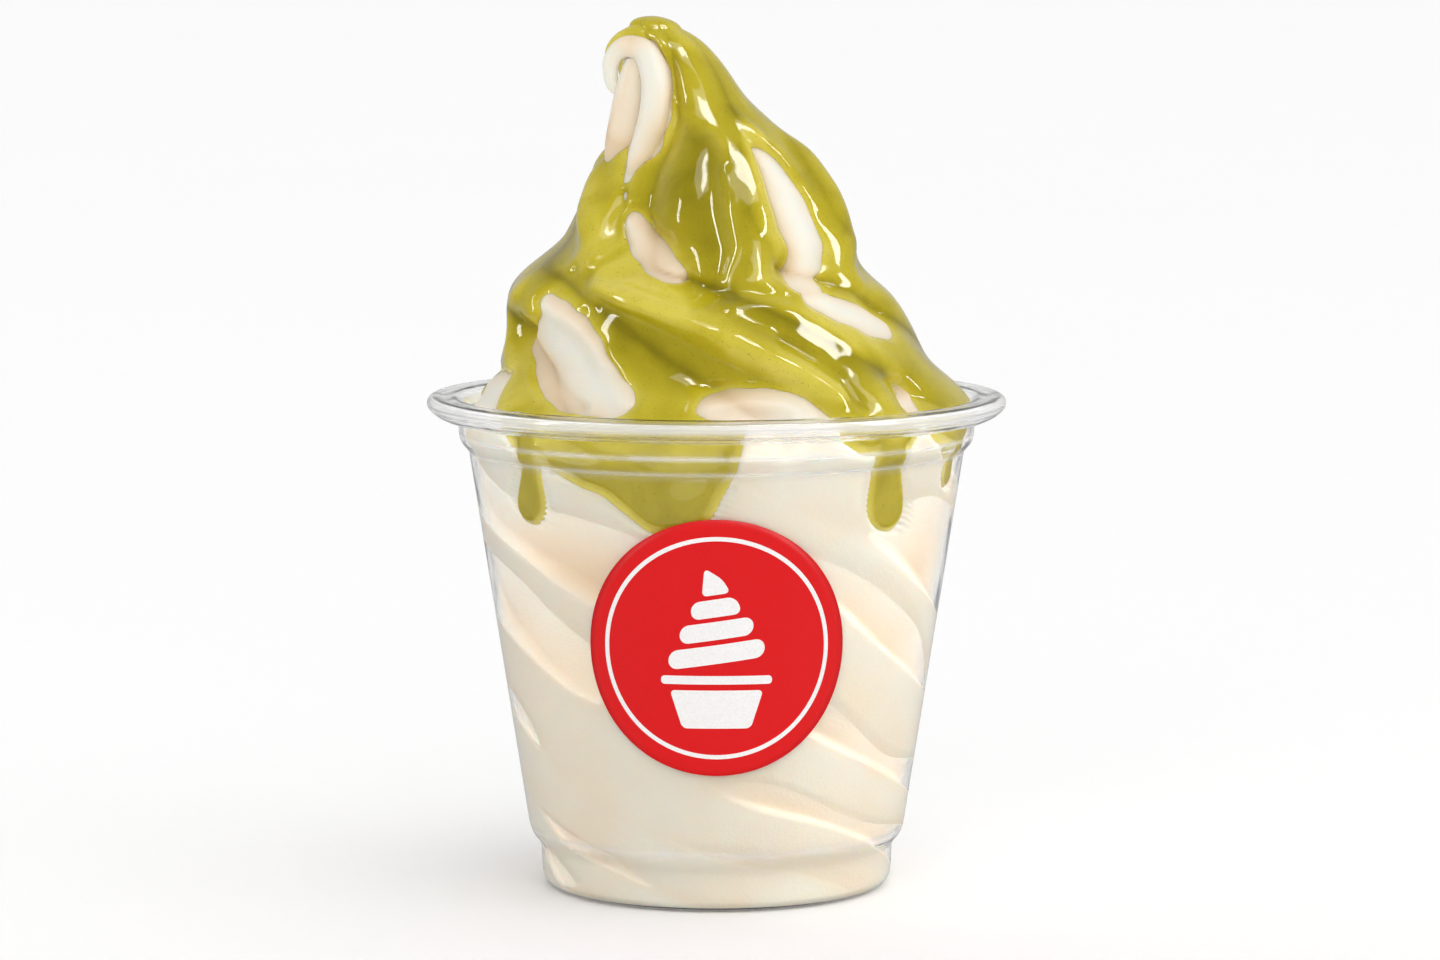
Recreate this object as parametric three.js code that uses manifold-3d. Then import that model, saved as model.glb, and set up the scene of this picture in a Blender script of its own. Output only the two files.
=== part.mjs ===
// A clear plastic dessert cup filled with vanilla soft-serve ice cream, which rises above the rim as a
// twisted, lobed peak with a curled tip. Pistachio sauce coats the peak, leaves the cream bare in places and
// runs down inside the cup in drips. A round paper label sits on the front of the cup.
//
// Millimetres. +Z is up, the cup stands on z = 0 with its axis on the Z axis, and its front faces -Y.
// "angle" is measured round the cup from the front, in degrees, and grows towards +X.
import * as THREE from "three";
import { mergeVertices } from "three/addons/utils/BufferGeometryUtils.js";
import Module from "manifold-3d";

const wasm = await Module();
wasm.setup();

// ---------- driving dimensions ----------

const CUP_HEIGHT = 80;
const RIM_RADIUS = 47.5;
const MOUTH_RADIUS = 42.6;
const NECK_RADIUS = 42.2;
const WALL = 0.7;
const FOOT_RADIUS = 27.3;
const PUSH_UP = 1.5;
const RING_RADIUS = 29.2;
const RING_HEIGHT = 6.4;
const LEDGE_RADIUS = 30.7;
const LEDGE_HEIGHT = 8.6;
const SHOULDER_RADIUS = 40.2;
const SHOULDER_HEIGHT = 69.4;
const NECK_HEIGHT = 72.4;
const GAP = 0.3;

const CREAM_TOP = 141.2;
const CREAM_FLOOR = PUSH_UP + WALL + GAP;
const CUP_SEGMENTS = 36;
const FOOD_SEGMENTS = 52;

const SAUCE = 1.7;
const SAUCE_TOP = CREAM_TOP + 1.2;
const CUT_GAP = 0.4;
const SAUCE_EDGE_SLOPE = 1.6;
const SAUCE_FLOOR = 58;
const CUTTER_FLOOR = 54;
const GROOVE_FILL = 0.55;
const BARE_ROUNDING = 0.6;

const LABEL_RADIUS = 20.9;
const LABEL_HEIGHT = 43.8;
const LABEL_THICKNESS = 0.35;
const LABEL_SEGMENTS = 32;

// ---------- curves through a few named knots ----------

const radians = THREE.MathUtils.degToRad;

// A smooth function through [position, value] knots that never overshoots them.
function throughKnots(knots, period = 0) {
  const sorted = [...knots].sort((a, b) => a[0] - b[0]);
  const points = period
    ? [
        ...sorted.slice(-2).map(([p, v]) => [p - period, v]),
        ...sorted,
        ...sorted.slice(0, 2).map(([p, v]) => [p + period, v]),
      ]
    : sorted;
  const rise = (i) => (points[i + 1][1] - points[i][1]) / (points[i + 1][0] - points[i][0]);
  const slopes = points.map((_, i) => {
    if (i === 0) return rise(0);
    if (i === points.length - 1) return rise(i - 1);
    const before = rise(i - 1);
    const after = rise(i);
    return before * after <= 0 ? 0 : (2 * before * after) / (before + after);
  });
  return (position) => {
    const first = points[0][0];
    const last = points[points.length - 1][0];
    const start = sorted[0][0];
    const wrapped = period ? start + THREE.MathUtils.euclideanModulo(position - start, period) : position;
    const at = Math.min(Math.max(wrapped, first), last);
    let i = 0;
    while (i < points.length - 2 && at > points[i + 1][0]) i++;
    const span = points[i + 1][0] - points[i][0];
    const t = (at - points[i][0]) / span;
    const fromStart = (1 + 2 * t) * (1 - t) ** 2 * points[i][1] + t * (1 - t) ** 2 * span * slopes[i];
    const fromEnd = t * t * (3 - 2 * t) * points[i + 1][1] + t * t * (t - 1) * span * slopes[i + 1];
    return fromStart + fromEnd;
  };
}

// ---------- cup ----------

// The middle of the cup's wall, from the centre of its floor to the turned-down edge of its rim, as
// [radius, height].
function wallLine() {
  const half = WALL / 2;
  const rimMiddle = RIM_RADIUS - half;
  const top = CUP_HEIGHT - half;
  return [
    [0, PUSH_UP + half],
    [21, PUSH_UP + half],
    [23.5, half],
    [FOOT_RADIUS - half, half],
    [RING_RADIUS - half - 0.35, 1.9],
    [RING_RADIUS - half, RING_HEIGHT],
    [LEDGE_RADIUS - half, LEDGE_HEIGHT],
    [SHOULDER_RADIUS - half, SHOULDER_HEIGHT],
    [NECK_RADIUS - half - 0.4, 70.6],
    [NECK_RADIUS - half, NECK_HEIGHT],
    [MOUTH_RADIUS - half, top - 1.5],
    [MOUTH_RADIUS + 0.6, top - 0.2],
    [MOUTH_RADIUS + 1.9, top],
    [rimMiddle - 1.2, top - 0.1],
    [rimMiddle - 0.2, top - 0.9],
    [rimMiddle, top - 2.4],
    [rimMiddle - 0.7, top - 3.1],
  ];
}

// The wall line moved sideways by a distance, along the mean normal at each point.
function offsetLine(line, distance) {
  return line.map(([r, z], i) => {
    const [r0, z0] = line[Math.max(i - 1, 0)];
    const [r1, z1] = line[Math.min(i + 1, line.length - 1)];
    const length = Math.hypot(r1 - r0, z1 - z0);
    const [across, up] = [(r1 - r0) / length, (z1 - z0) / length];
    return new THREE.Vector2(r + up * distance, z - across * distance);
  });
}

function cupGeometry() {
  const line = wallLine();
  const outside = offsetLine(line, WALL / 2);
  const inside = offsetLine(line, -WALL / 2).reverse();
  const footRing = outside.slice(2, 4);
  footRing.forEach((point) => point.setY(0));
  const lathe = new THREE.LatheGeometry([...outside, ...inside, outside[0].clone()], CUP_SEGMENTS);
  return lathe.rotateX(Math.PI / 2);
}

const innerWallKnots = [
  [0, FOOT_RADIUS - WALL],
  [2.4, RING_RADIUS - 0.4 - WALL],
  [RING_HEIGHT, RING_RADIUS - WALL],
  [LEDGE_HEIGHT, LEDGE_RADIUS - WALL],
  [SHOULDER_HEIGHT, SHOULDER_RADIUS - WALL],
  [NECK_HEIGHT, NECK_RADIUS - WALL],
  [CUP_HEIGHT, MOUTH_RADIUS - WALL],
];

// Radius of the cup's inner face at a height.
function innerWall(height) {
  let i = 0;
  while (i < innerWallKnots.length - 2 && height > innerWallKnots[i + 1][0]) i++;
  const [[z0, r0], [z1, r1]] = innerWallKnots.slice(i, i + 2);
  return r0 + ((r1 - r0) * (height - z0)) / (z1 - z0);
}

// ---------- soft serve ----------

const crestRadius = throughKnots([
  [CREAM_TOP, 0.6], [140.6, 2.4], [139.4, 4.2], [137.4, 6], [135, 7.3], [132, 8.5], [129, 9.6],
  [126, 11.2], [119, 15.8], [112, 19.8], [107, 22], [102, 25.2], [97.5, 29.8], [91, 32],
  [87, 33.4], [82, 38.4], [77, 41.7], [NECK_HEIGHT, 41.9], [SHOULDER_HEIGHT, 40],
  [LEDGE_HEIGHT, 30.5], [0, 28.6],
]);

// How far the food's middle stands towards +X. It leans to the left at the tip.
const sideShift = throughKnots([
  [142, -10.6], [139, -9.3], [136, -8.4], [133, -7.5], [129, -6.1], [126, -4.6], [121, -2.4],
  [112, -1.2], [107, -1.2], [101, -3.7], [97, -2.8], [90, -0.6], [82, 0], [0, 0],
]);

// Angle by which the lobes have turned at a height, from where they are at a height of 90.
const twist = throughKnots([
  [142, -20], [134, -30], [127, -44], [120, -63], [112, -67.5], [107, -62], [103, -54], [100, -32],
  [95, -13], [90, 0], [84, 16.5], [69.6, 46], [54, 98], [20, 205], [0, 290],
]);

const grooveDepth = throughKnots([
  [141, 0.4], [137, 1.6], [130, 2.6], [119, 3.2], [107, 3.4], [97, 4.8], [86, 4.6], [78, 3.2],
  [60, 2.6], [4, 1.6],
]);

const LOBE_CRESTS = [-82, -45, 15, 62, 108, 156, 210];
const LOBE_FULLNESS = 0.94;

// 1 on a lobe's crest and 0 in the groove beside it, at an angle that is already free of the twist.
function lobeProfile(angle) {
  const first = LOBE_CRESTS[0];
  const turned = first + THREE.MathUtils.euclideanModulo(angle - first, 360);
  let i = 0;
  while (i < LOBE_CRESTS.length - 1 && turned >= LOBE_CRESTS[i + 1]) i++;
  const next = i === LOBE_CRESTS.length - 1 ? first + 360 : LOBE_CRESTS[i + 1];
  const share = (turned - LOBE_CRESTS[i]) / (next - LOBE_CRESTS[i]);
  const across = 1 - Math.abs(1 - 2 * share);
  const edge = Math.sqrt(1 - LOBE_FULLNESS ** 2);
  return (Math.sqrt(1 - (LOBE_FULLNESS * across) ** 2) - edge) / (1 - edge);
}

// ---------- where the sauce lies ----------

// Bare places in the sauce, each an outline of [angle, height] corners.
const BARE_PLACES = {
  frontLeft: [
    [-57, 97.6], [-51, 98], [-42, 96.4], [-32, 92.4], [-25, 87.6], [-21, 82.6], [-24, 80.6],
    [-41, 82], [-51, 84.4], [-54, 87], [-66, 89], [-55, 93.6],
  ],
  frontNeck: [
    [-38, 108.6], [-34, 110.6], [-27, 109], [-5, 102], [-20, 103.4], [-33, 106.8],
  ],
  frontTall: [
    [33, 120.4], [40, 119], [45, 115], [50, 104.4], [44, 100], [35, 99.8], [31, 106], [29, 116],
  ],
  frontSliver: [
    [35, 98.6], [54, 96], [66, 93], [61, 92], [50, 92.4], [40, 95],
  ],
  frontShoulder: [
    [-4.6, 81], [-0.5, 83.4], [7, 84.4], [17, 83.6], [25, 81.4], [28, 78], [25, 72], [9, 72],
    [7, 80],
  ],
  frontRight: [
    [52, 84], [56, 83], [53, 80.4], [46, 81],
  ],
  tip: [
    [-24, 138.2], [-4, 137], [4, 133.6], [-4, 129], [-19, 124], [-31, 120.4], [-38, 114.8],
    [-43, 115.6], [-51, 121.4], [-72, 125], [-104, 127], [-112, 132], [-90, 137],
  ],
  rightBack: [
    [104, 98], [116, 99.6], [133, 89], [122, 86.6], [110, 90],
  ],
  backNeck: [
    [147, 118], [153, 118.6], [160, 109], [157, 103], [149, 106],
  ],
  backShoulder: [
    [160, 90.4], [171, 92.4], [189, 84.6], [176, 83.4],
  ],
  leftBack: [
    [-149, 96.6], [-140, 98], [-121, 89], [-134, 87.4], [-147, 92],
  ],
  leftNeck: [
    [-115, 117], [-109, 118], [-104, 110.6], [-108, 107.4],
  ],
};

// The sauce's lower edge round the cup, without its drips.
const lowerEdge = throughKnots(
  [
    [-180, 72], [-150, 76], [-125, 70], [-100, 82], [-86, 84.6], [-68, 85], [-60, 80], [-54, 76],
    [-41, 71.5], [-27, 67.5], [-12, 61.5], [-5, 61.8], [1, 67.6], [4.5, 72.5], [7, 80], [10, 84],
    [18, 84], [24, 81], [29, 76], [36, 74], [47, 74.4], [52, 77.4], [58, 75], [70, 73], [78, 76],
    [95, 81], [120, 75], [150, 79],
  ],
  360,
);

// Drips: where each starts, how low it hangs, and the radius of its neck and of its end.
const DRIPS = [
  { angle: -49.5, from: 84, to: 65.2, neck: 2.7, end: 3.2 },
  { angle: 43.5, from: 80, to: 65, neck: 3.2, end: 3.4 },
  { angle: 69, from: 78, to: 69, neck: 2.6, end: 2.6 },
  { angle: 134, from: 78, to: 66, neck: 2.3, end: 2.8 },
  { angle: -168, from: 76, to: 63.5, neck: 2.3, end: 2.9 },
  { angle: -118, from: 76, to: 67.5, neck: 2.1, end: 2.5 },
];

const smoothstep = THREE.MathUtils.smoothstep;

function angleApart(a, b) {
  return THREE.MathUtils.euclideanModulo(a - b + 180, 360) - 180;
}

// Distance outside a bare place, below zero inside it.
function outsideBarePlace(corners, angle, height) {
  const meanHeight = corners.reduce((sum, corner) => sum + corner[1], 0) / corners.length;
  const perDegree = radians(1) * crestRadius(meanHeight);
  const [first] = corners[0];
  const place = angleApart(angle, first);
  const flat = corners.map(([a, z]) => [(angleApart(a, first) - place) * perDegree, z - height]);
  let nearest = Infinity;
  let inside = false;
  flat.forEach(([x0, y0], i) => {
    const [x1, y1] = flat[(i + 1) % flat.length];
    const [dx, dy] = [x1 - x0, y1 - y0];
    const along = THREE.MathUtils.clamp(-(x0 * dx + y0 * dy) / (dx * dx + dy * dy), 0, 1);
    nearest = Math.min(nearest, Math.hypot(x0 + along * dx, y0 + along * dy));
    if (y0 > 0 !== y1 > 0 && x0 - (y0 * dx) / dy > 0) inside = !inside;
  });
  return (inside ? -nearest : nearest) - BARE_ROUNDING;
}

// Distance inside a drip, below zero outside it.
function insideDrip(drip, angle, height) {
  const across = radians(angleApart(angle, drip.angle)) * innerWall(Math.min(height, CUP_HEIGHT));
  const below = Math.max(drip.to - height, 0) + Math.max(height - drip.from, 0);
  const radius = THREE.MathUtils.lerp(drip.end, drip.neck, smoothstep(height, drip.to, drip.to + 7));
  return radius - Math.hypot(across, below);
}

// Distance inside the sauce's outline at a place on the cream, below zero on bare cream.
function sauceDepth(angle, height) {
  const slope = (lowerEdge(angle + 1) - lowerEdge(angle - 1)) / (radians(2) * SHOULDER_RADIUS);
  let depth = (height - lowerEdge(angle)) / Math.hypot(1, slope);
  for (const place of Object.values(BARE_PLACES)) {
    depth = Math.min(depth, outsideBarePlace(place, angle, height));
  }
  for (const drip of DRIPS) depth = Math.max(depth, insideDrip(drip, angle, height));
  return depth;
}

// ---------- the two food surfaces ----------

// Radius of the cream at an angle and height. It leaves room for the sauce between itself and the cup.
function creamRadius(angle, height) {
  const profile = lobeProfile(angle - twist(height));
  const free = crestRadius(height) - grooveDepth(height) * (1 - profile);
  if (height > CUP_HEIGHT) return free;
  const room = GAP + (SAUCE + GAP) * smoothstep(sauceDepth(angle, height), -SAUCE, SAUCE);
  return Math.min(free, innerWall(height) - room);
}

// Radius of the sauce's outer face. Off the sauce it dips inside the cream.
function sauceRadius(angle, height) {
  const profile = lobeProfile(angle - twist(height));
  const depth = sauceDepth(angle, height);
  const fill = GROOVE_FILL * grooveDepth(height) * (1 - profile);
  const full = SAUCE + fill;
  const rise = SAUCE_EDGE_SLOPE * depth;
  const thickness = depth > 0 ? full * (1 - Math.exp(-rise / full)) : Math.max(rise, -SAUCE);
  const radius = creamRadius(angle, height) + thickness;
  return height > CUP_HEIGHT ? radius : Math.min(radius, innerWall(height) - GAP);
}

// Heights from low to high, no further apart than step.
function rows(low, high, step) {
  const count = Math.ceil((high - low) / step);
  return Array.from({ length: count }, (_, i) => low + ((high - low) * i) / count);
}

// A closed body round the leaning axis, whose radius is a function of angle and height. Its ends close on
// the axis.
function turnedBody(heights, radiusAt, topHeight) {
  const low = heights[0];
  const high = heights[heights.length - 1];
  const rings = [low, ...heights, topHeight];
  const profile = rings.map((z, i) => new THREE.Vector2(i === 0 || i === rings.length - 1 ? 0 : 1, z));
  const lathe = new THREE.LatheGeometry(profile, FOOD_SEGMENTS);
  const position = lathe.attributes.position;
  for (let i = 0; i < position.count; i++) {
    const ring = i % rings.length;
    const height = rings[ring];
    const angle = (360 * Math.floor(i / rings.length)) / FOOD_SEGMENTS;
    const onAxis = ring === 0 || ring === rings.length - 1;
    const radius = onAxis ? 0 : radiusAt(angle, THREE.MathUtils.clamp(height, low, high));
    const x = sideShift(height) + radius * Math.sin(radians(angle));
    position.setXYZ(i, x, -radius * Math.cos(radians(angle)), height);
  }
  return lathe;
}

// A rod along points, round in section, with a radius at each point and closed ends.
function taperedRod(points, radii, sides = 8, steps = 10) {
  const path = new THREE.CatmullRomCurve3(points);
  const along = throughKnots(radii.map((r, i) => [i / (radii.length - 1), r]));
  const rod = new THREE.CylinderGeometry(1, 1, 1, sides, steps);
  const position = rod.attributes.position;
  const forward = new THREE.Vector3(0, -1, 0);
  for (let i = 0; i < position.count; i++) {
    const t = position.getY(i) + 0.5;
    const size = along(t);
    const middle = path.getPoint(t);
    const side = new THREE.Vector3().crossVectors(path.getTangent(t), forward).normalize();
    middle.addScaledVector(side, position.getX(i) * size).addScaledVector(forward, position.getZ(i) * size);
    position.setXYZ(i, ...middle);
  }
  return rod;
}

// ---------- solids ----------

function solidOf(geometry) {
  const bare = new THREE.BufferGeometry().setIndex(geometry.index);
  bare.setAttribute("position", geometry.attributes.position);
  const merged = mergeVertices(bare, 1e-3);
  const index = merged.index.array;
  const corners = new Uint32Array(
    Array.from({ length: index.length / 3 }, (_, i) => [...index.slice(3 * i, 3 * i + 3)])
      .filter(([a, b, c]) => a !== b && b !== c && c !== a)
      .flat(),
  );
  const make = (triVerts) =>
    new wasm.Manifold(
      new wasm.Mesh({ numProp: 3, vertProperties: merged.attributes.position.array, triVerts }),
    );
  const made = make(corners);
  return made.volume() > 0 ? made : make(corners.reverse());
}

function geometryOf(solid) {
  const mesh = solid.getMesh();
  const places = new Float32Array(mesh.numVert * 3);
  for (let i = 0; i < mesh.numVert; i++) {
    places.set(mesh.vertProperties.subarray(i * mesh.numProp, i * mesh.numProp + 3), i * 3);
  }
  const geometry = new THREE.BufferGeometry();
  geometry.setAttribute("position", new THREE.BufferAttribute(places, 3));
  geometry.setIndex(new THREE.BufferAttribute(mesh.triVerts, 1));
  geometry.computeVertexNormals();
  return geometry;
}

// The largest of a solid's separate bodies.
function largestBody(solid) {
  return solid.decompose().sort((a, b) => b.volume() - a.volume())[0];
}

// The curl that the tip ends in, to the left of the peak, and the sauce that lies over it.
const CURL_POINTS = [
  [-8, -1.5, 136.4],
  [-12.1, -2.6, 137.9],
  [-15.3, -3, 137.7],
  [-17.3, -3.2, 135.6],
  [-17.7, -3.2, 133],
  [-17, -3, 130.8],
  [-15.6, -2.6, 129.6],
].map((p) => new THREE.Vector3(...p));
const CURL_RADII = [3.4, 2.6, 1.9, 1.5, 1.3, 1.1, 0.6];
const CURL_COAT_POINTS = [
  [-6, 0.2, 135],
  [-10.4, -0.4, 138.8],
  [-14.6, -0.8, 138.6],
  [-17.2, -1.4, 136.4],
].map((p) => new THREE.Vector3(...p));
const CURL_COAT_RADII = [5.2, 3.3, 2.2, 1];

function grown(radii, by) {
  return radii.map((r) => r + by);
}

const neckRows = rows(SHOULDER_HEIGHT, CUP_HEIGHT, 3.6);
const peakRows = [...rows(CUP_HEIGHT, 137, 2.5), ...rows(137, 140.6, 1.9), 140.6];
const creamRows = [
  ...rows(CREAM_FLOOR, RING_HEIGHT, 4),
  ...rows(RING_HEIGHT, LEDGE_HEIGHT, 4),
  ...rows(LEDGE_HEIGHT, CUTTER_FLOOR, 6.6),
  ...rows(CUTTER_FLOOR, SHOULDER_HEIGHT, 3.9),
  ...neckRows,
  ...peakRows,
];
const cutterRows = [...rows(CUTTER_FLOOR, SHOULDER_HEIGHT, 3.9), ...neckRows, ...peakRows];
const sauceRows = [...rows(SAUCE_FLOOR, SHOULDER_HEIGHT, 3), ...neckRows, ...peakRows];

const cream = solidOf(turnedBody(creamRows, creamRadius, CREAM_TOP)).add(
  solidOf(taperedRod(CURL_POINTS, CURL_RADII)),
);

const cutterRadius = (angle, height) => creamRadius(angle, height) + CUT_GAP;
const creamAndGap = solidOf(turnedBody(cutterRows, cutterRadius, CREAM_TOP + CUT_GAP)).add(
  solidOf(taperedRod(CURL_POINTS, grown(CURL_RADII, GAP))),
);

const sauce = largestBody(
  solidOf(turnedBody(sauceRows, sauceRadius, SAUCE_TOP))
    .add(solidOf(taperedRod(CURL_COAT_POINTS, CURL_COAT_RADII)))
    .subtract(creamAndGap)
    .subtract(cream),
);

// The label: a disc of paper bent round the cup's sloping wall.
function labelGeometry() {
  const slope = (SHOULDER_RADIUS - LEDGE_RADIUS) / (SHOULDER_HEIGHT - LEDGE_HEIGHT);
  const upTheWall = Math.cos(Math.atan(slope));
  const rings = [0, 0.36, 0.7, 1].map((share) => share * LABEL_RADIUS);
  const back = rings.map((r) => new THREE.Vector2(r, 0));
  const front = rings.map((r) => new THREE.Vector2(r, LABEL_THICKNESS)).reverse();
  const disc = new THREE.LatheGeometry([...back, ...front], LABEL_SEGMENTS);
  const position = disc.attributes.position;
  for (let i = 0; i < position.count; i++) {
    const height = LABEL_HEIGHT + position.getZ(i) * upTheWall;
    const wall = LEDGE_RADIUS + slope * (height - LEDGE_HEIGHT);
    const angle = position.getX(i) / wall;
    const radius = wall + GAP + position.getY(i);
    position.setXYZ(i, radius * Math.sin(angle), -radius * Math.cos(angle), height);
  }
  return disc;
}

// ---------- the part ----------

function part(name, geometry, material) {
  const mesh = new THREE.Mesh(geometry, material);
  mesh.name = name;
  return mesh;
}

const clearPlastic = new THREE.MeshStandardMaterial({
  color: 0xf2f5f6,
  roughness: 0.05,
  metalness: 0,
  transparent: true,
  opacity: 0.25,
});
const vanilla = new THREE.MeshStandardMaterial({ color: 0xf6edda, roughness: 0.55, metalness: 0 });
const pistachio = new THREE.MeshStandardMaterial({ color: 0xa8a638, roughness: 0.15, metalness: 0 });
const redPaper = new THREE.MeshStandardMaterial({ color: 0xe0161e, roughness: 0.35, metalness: 0 });

const dessert = new THREE.Group();
dessert.add(
  part("cup", geometryOf(solidOf(cupGeometry())), clearPlastic),
  part("soft_serve", geometryOf(cream), vanilla),
  part("pistachio_sauce", geometryOf(sauce), pistachio),
  part("label", geometryOf(solidOf(labelGeometry())), redPaper),
);

export default dessert;
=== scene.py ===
"""A clear plastic cup of vanilla soft serve under pistachio sauce, with a round paper label, in a studio.

The food's surfaces are worked out in millimetres on a grid of angles and heights. Every mesh is in metres.
An angle is measured round the cup from its front, -Y, towards +X.
"""

import functools
import math
import bmesh
import bpy
import numpy as np
from mathutils import Matrix, Vector


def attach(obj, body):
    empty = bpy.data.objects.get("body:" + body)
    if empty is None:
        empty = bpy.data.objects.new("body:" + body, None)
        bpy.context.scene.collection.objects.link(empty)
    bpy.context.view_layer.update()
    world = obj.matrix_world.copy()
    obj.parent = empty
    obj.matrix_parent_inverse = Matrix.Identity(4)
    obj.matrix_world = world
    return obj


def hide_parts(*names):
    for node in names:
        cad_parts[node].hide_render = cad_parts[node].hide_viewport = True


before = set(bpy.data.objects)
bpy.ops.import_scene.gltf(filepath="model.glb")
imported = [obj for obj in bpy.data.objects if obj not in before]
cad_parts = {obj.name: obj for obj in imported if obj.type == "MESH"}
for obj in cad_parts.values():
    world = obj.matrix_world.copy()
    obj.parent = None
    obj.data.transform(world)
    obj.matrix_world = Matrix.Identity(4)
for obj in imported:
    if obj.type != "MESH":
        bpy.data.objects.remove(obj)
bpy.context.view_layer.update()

bl_info = {
    "name": "Pistachio Soft Serve Cup",
    "version": (1, 0, 0),
    "blender": (4, 5, 0),
    "location": "3D View > Sidebar > Dessert",
    "description": "Builds a clear cup of vanilla soft serve under pistachio sauce",
    "category": "Object",
}

MM = 0.001

# ---------- curves through a few named knots ----------


def through_knots(knots, period=0.0):
    """A smooth function through (position, value) knots that never overshoots them."""
    points = sorted((float(p), float(v)) for p, v in knots)
    start = points[0][0]
    if period:
        before = [(p - period, v) for p, v in points[-2:]]
        after = [(p + period, v) for p, v in points[:2]]
        points = before + points + after
    at, value = np.array(points).T
    rise = np.diff(value) / np.diff(at)
    slope = np.zeros(len(at))
    slope[0], slope[-1] = rise[0], rise[-1]
    same_way = rise[:-1] * rise[1:] > 0
    both = np.where(same_way, rise[:-1] + rise[1:], 1.0)
    slope[1:-1] = np.where(same_way, 2 * rise[:-1] * rise[1:] / both, 0.0)

    def curve(position):
        position = np.asarray(position, float)
        if period:
            position = start + np.mod(position - start, period)
        position = np.clip(position, at[0], at[-1])
        i = np.clip(np.searchsorted(at, position, side="right") - 1, 0, len(at) - 2)
        span = at[i + 1] - at[i]
        t = (position - at[i]) / span
        from_start = (1 + 2 * t) * (1 - t) ** 2 * value[i] + t * (1 - t) ** 2 * span * slope[i]
        from_end = t * t * (3 - 2 * t) * value[i + 1] + t * t * (t - 1) * span * slope[i + 1]
        return from_start + from_end

    return curve


def smoothstep(value, low, high):
    """0 below low, 1 above high, and a soft step between them."""
    t = np.clip((value - low) / (high - low), 0.0, 1.0)
    return t * t * (3 - 2 * t)


def angle_apart(a, b):
    """a - b in degrees, from -180 to 180."""
    return np.mod(a - b + 180.0, 360.0) - 180.0


def unevenness(points, size, seed, count=28):
    """Soft, repeatable bumps between about -1 and 1 at points in space, about size apart."""
    random = np.random.default_rng(seed)
    total = np.zeros(points.shape[:-1])
    for _ in range(count):
        direction = random.normal(size=3)
        direction *= 2 * math.pi / (np.linalg.norm(direction) * size * random.uniform(0.7, 1.8))
        total += np.cos(points @ direction + random.uniform(0, 2 * math.pi))
    return total / math.sqrt(count)


# ---------- cup sizes ----------

CUP_HEIGHT = 80.0
WALL = 0.7
LEDGE_RADIUS, LEDGE_HEIGHT = 30.95, 10.2
SHOULDER_RADIUS, SHOULDER_HEIGHT = 40.55, 71.7

# The middle of the cup's wall, from the centre of its floor up to the flange and round its rolled edge, as
# (radius, height).
CUP_WALL_LINE = [
    (0, 1.85), (20.6, 1.85), (22.6, 1.3), (23.7, 0.36), (26.7, 0.36), (27.8, 0.8), (28.35, 1.8),
    (28.5, 3.4), (28.6, 6.6), (29.1, 7.5), (30.1, 8.7), (30.6, 10.2), (30.87, 12.0), (35.4, 41.0),
    (39.93, 70.0), (40.2, 71.7), (40.85, 72.5), (41.6, 73.4), (41.85, 74.6), (41.87, 76.2),
    (41.9, 77.6), (42.15, 79.4), (42.9, 80.35), (43.9, 80.1), (44.9, 80.0), (45.7, 80.3),
    (46.5, 80.35), (47.1, 79.7), (46.9, 78.9), (45.9, 78.0), (44.3, 77.25), (42.9, 77.0),
]

# The wall's inner face, as (height, radius).
INNER_WALL = [
    (0, 27.4), (1.8, 28.0), (6.6, 28.25), (7.6, 28.75), (8.8, 29.75), (10.2, 30.25), (71.7, 39.85),
    (73.4, 41.2), (74.6, 41.5), (77.6, 41.55), (81, 41.9),
]

# Bends where a painted highlight turns the plastic white, as (height, half height, least radius, share of
# white).
PAINTED_HIGHLIGHT_BENDS = [
    (79.4, 0.9, 46.3, 0.45), (74.3, 0.4, 41.4, 0.3), (71.7, 0.4, 39.0, 0.3), (9.6, 0.6, 29.0, 0.25),
]


def inner_wall(height):
    heights, radii = zip(*INNER_WALL)
    return np.interp(height, heights, radii)


# ---------- soft serve ----------

CREAM_FLOOR, CREAM_TOP = 0.8, 141.2
CAP_HEIGHT = 139.4
REACH_INTO_WALL = 0.25

crest_radius = through_knots([
    (141.2, 0.6), (140.6, 2.4), (139.4, 4.2), (137.4, 6), (135, 7.3), (132, 8.5), (129, 9.6),
    (126, 11.2), (119, 15.8), (112, 19.8), (107, 22), (102, 25.2), (97.5, 29.8), (91, 32),
    (87, 33.4), (82, 38.4), (77, 42.1), (74.6, 42.2), (71.7, 40.6), (10.2, 31.0), (6.6, 29.0), (0, 28.4),
])

# How far the food's middle stands towards +X. It leans to the left at the tip.
side_shift = through_knots([
    (142, -10.6), (139, -9.3), (136, -8.4), (133, -7.5), (129, -6.1), (126, -4.6), (121, -2.4),
    (112, -1.2), (107, -1.2), (101, -3.7), (97, -2.8), (90, -0.6), (82, 0), (0, 0),
])

# Angle by which the lobes have turned at a height, from where they are at a height of 90.
twist = through_knots([
    (142, -20), (134, -30), (127, -44), (120, -63), (112, -67.5), (107, -62), (103, -54),
    (100, -32), (95, -13), (90, 0), (84, 16.5), (69.6, 46), (54, 98), (20, 205), (0, 290),
])

groove_depth = through_knots([
    (141, 0.4), (137, 1.6), (130, 2.6), (119, 3.2), (107, 3.4), (97, 4.8), (86, 4.4), (78, 2.6),
    (70, 1.8), (56, 1.7), (20, 2.1), (8, 1.3), (2, 0.6),
])

LOBE_CRESTS = np.array([-82.0, -45.0, 15.0, 62.0, 108.0, 156.0, 210.0])
LOBE_FULLNESS = 0.94


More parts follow.
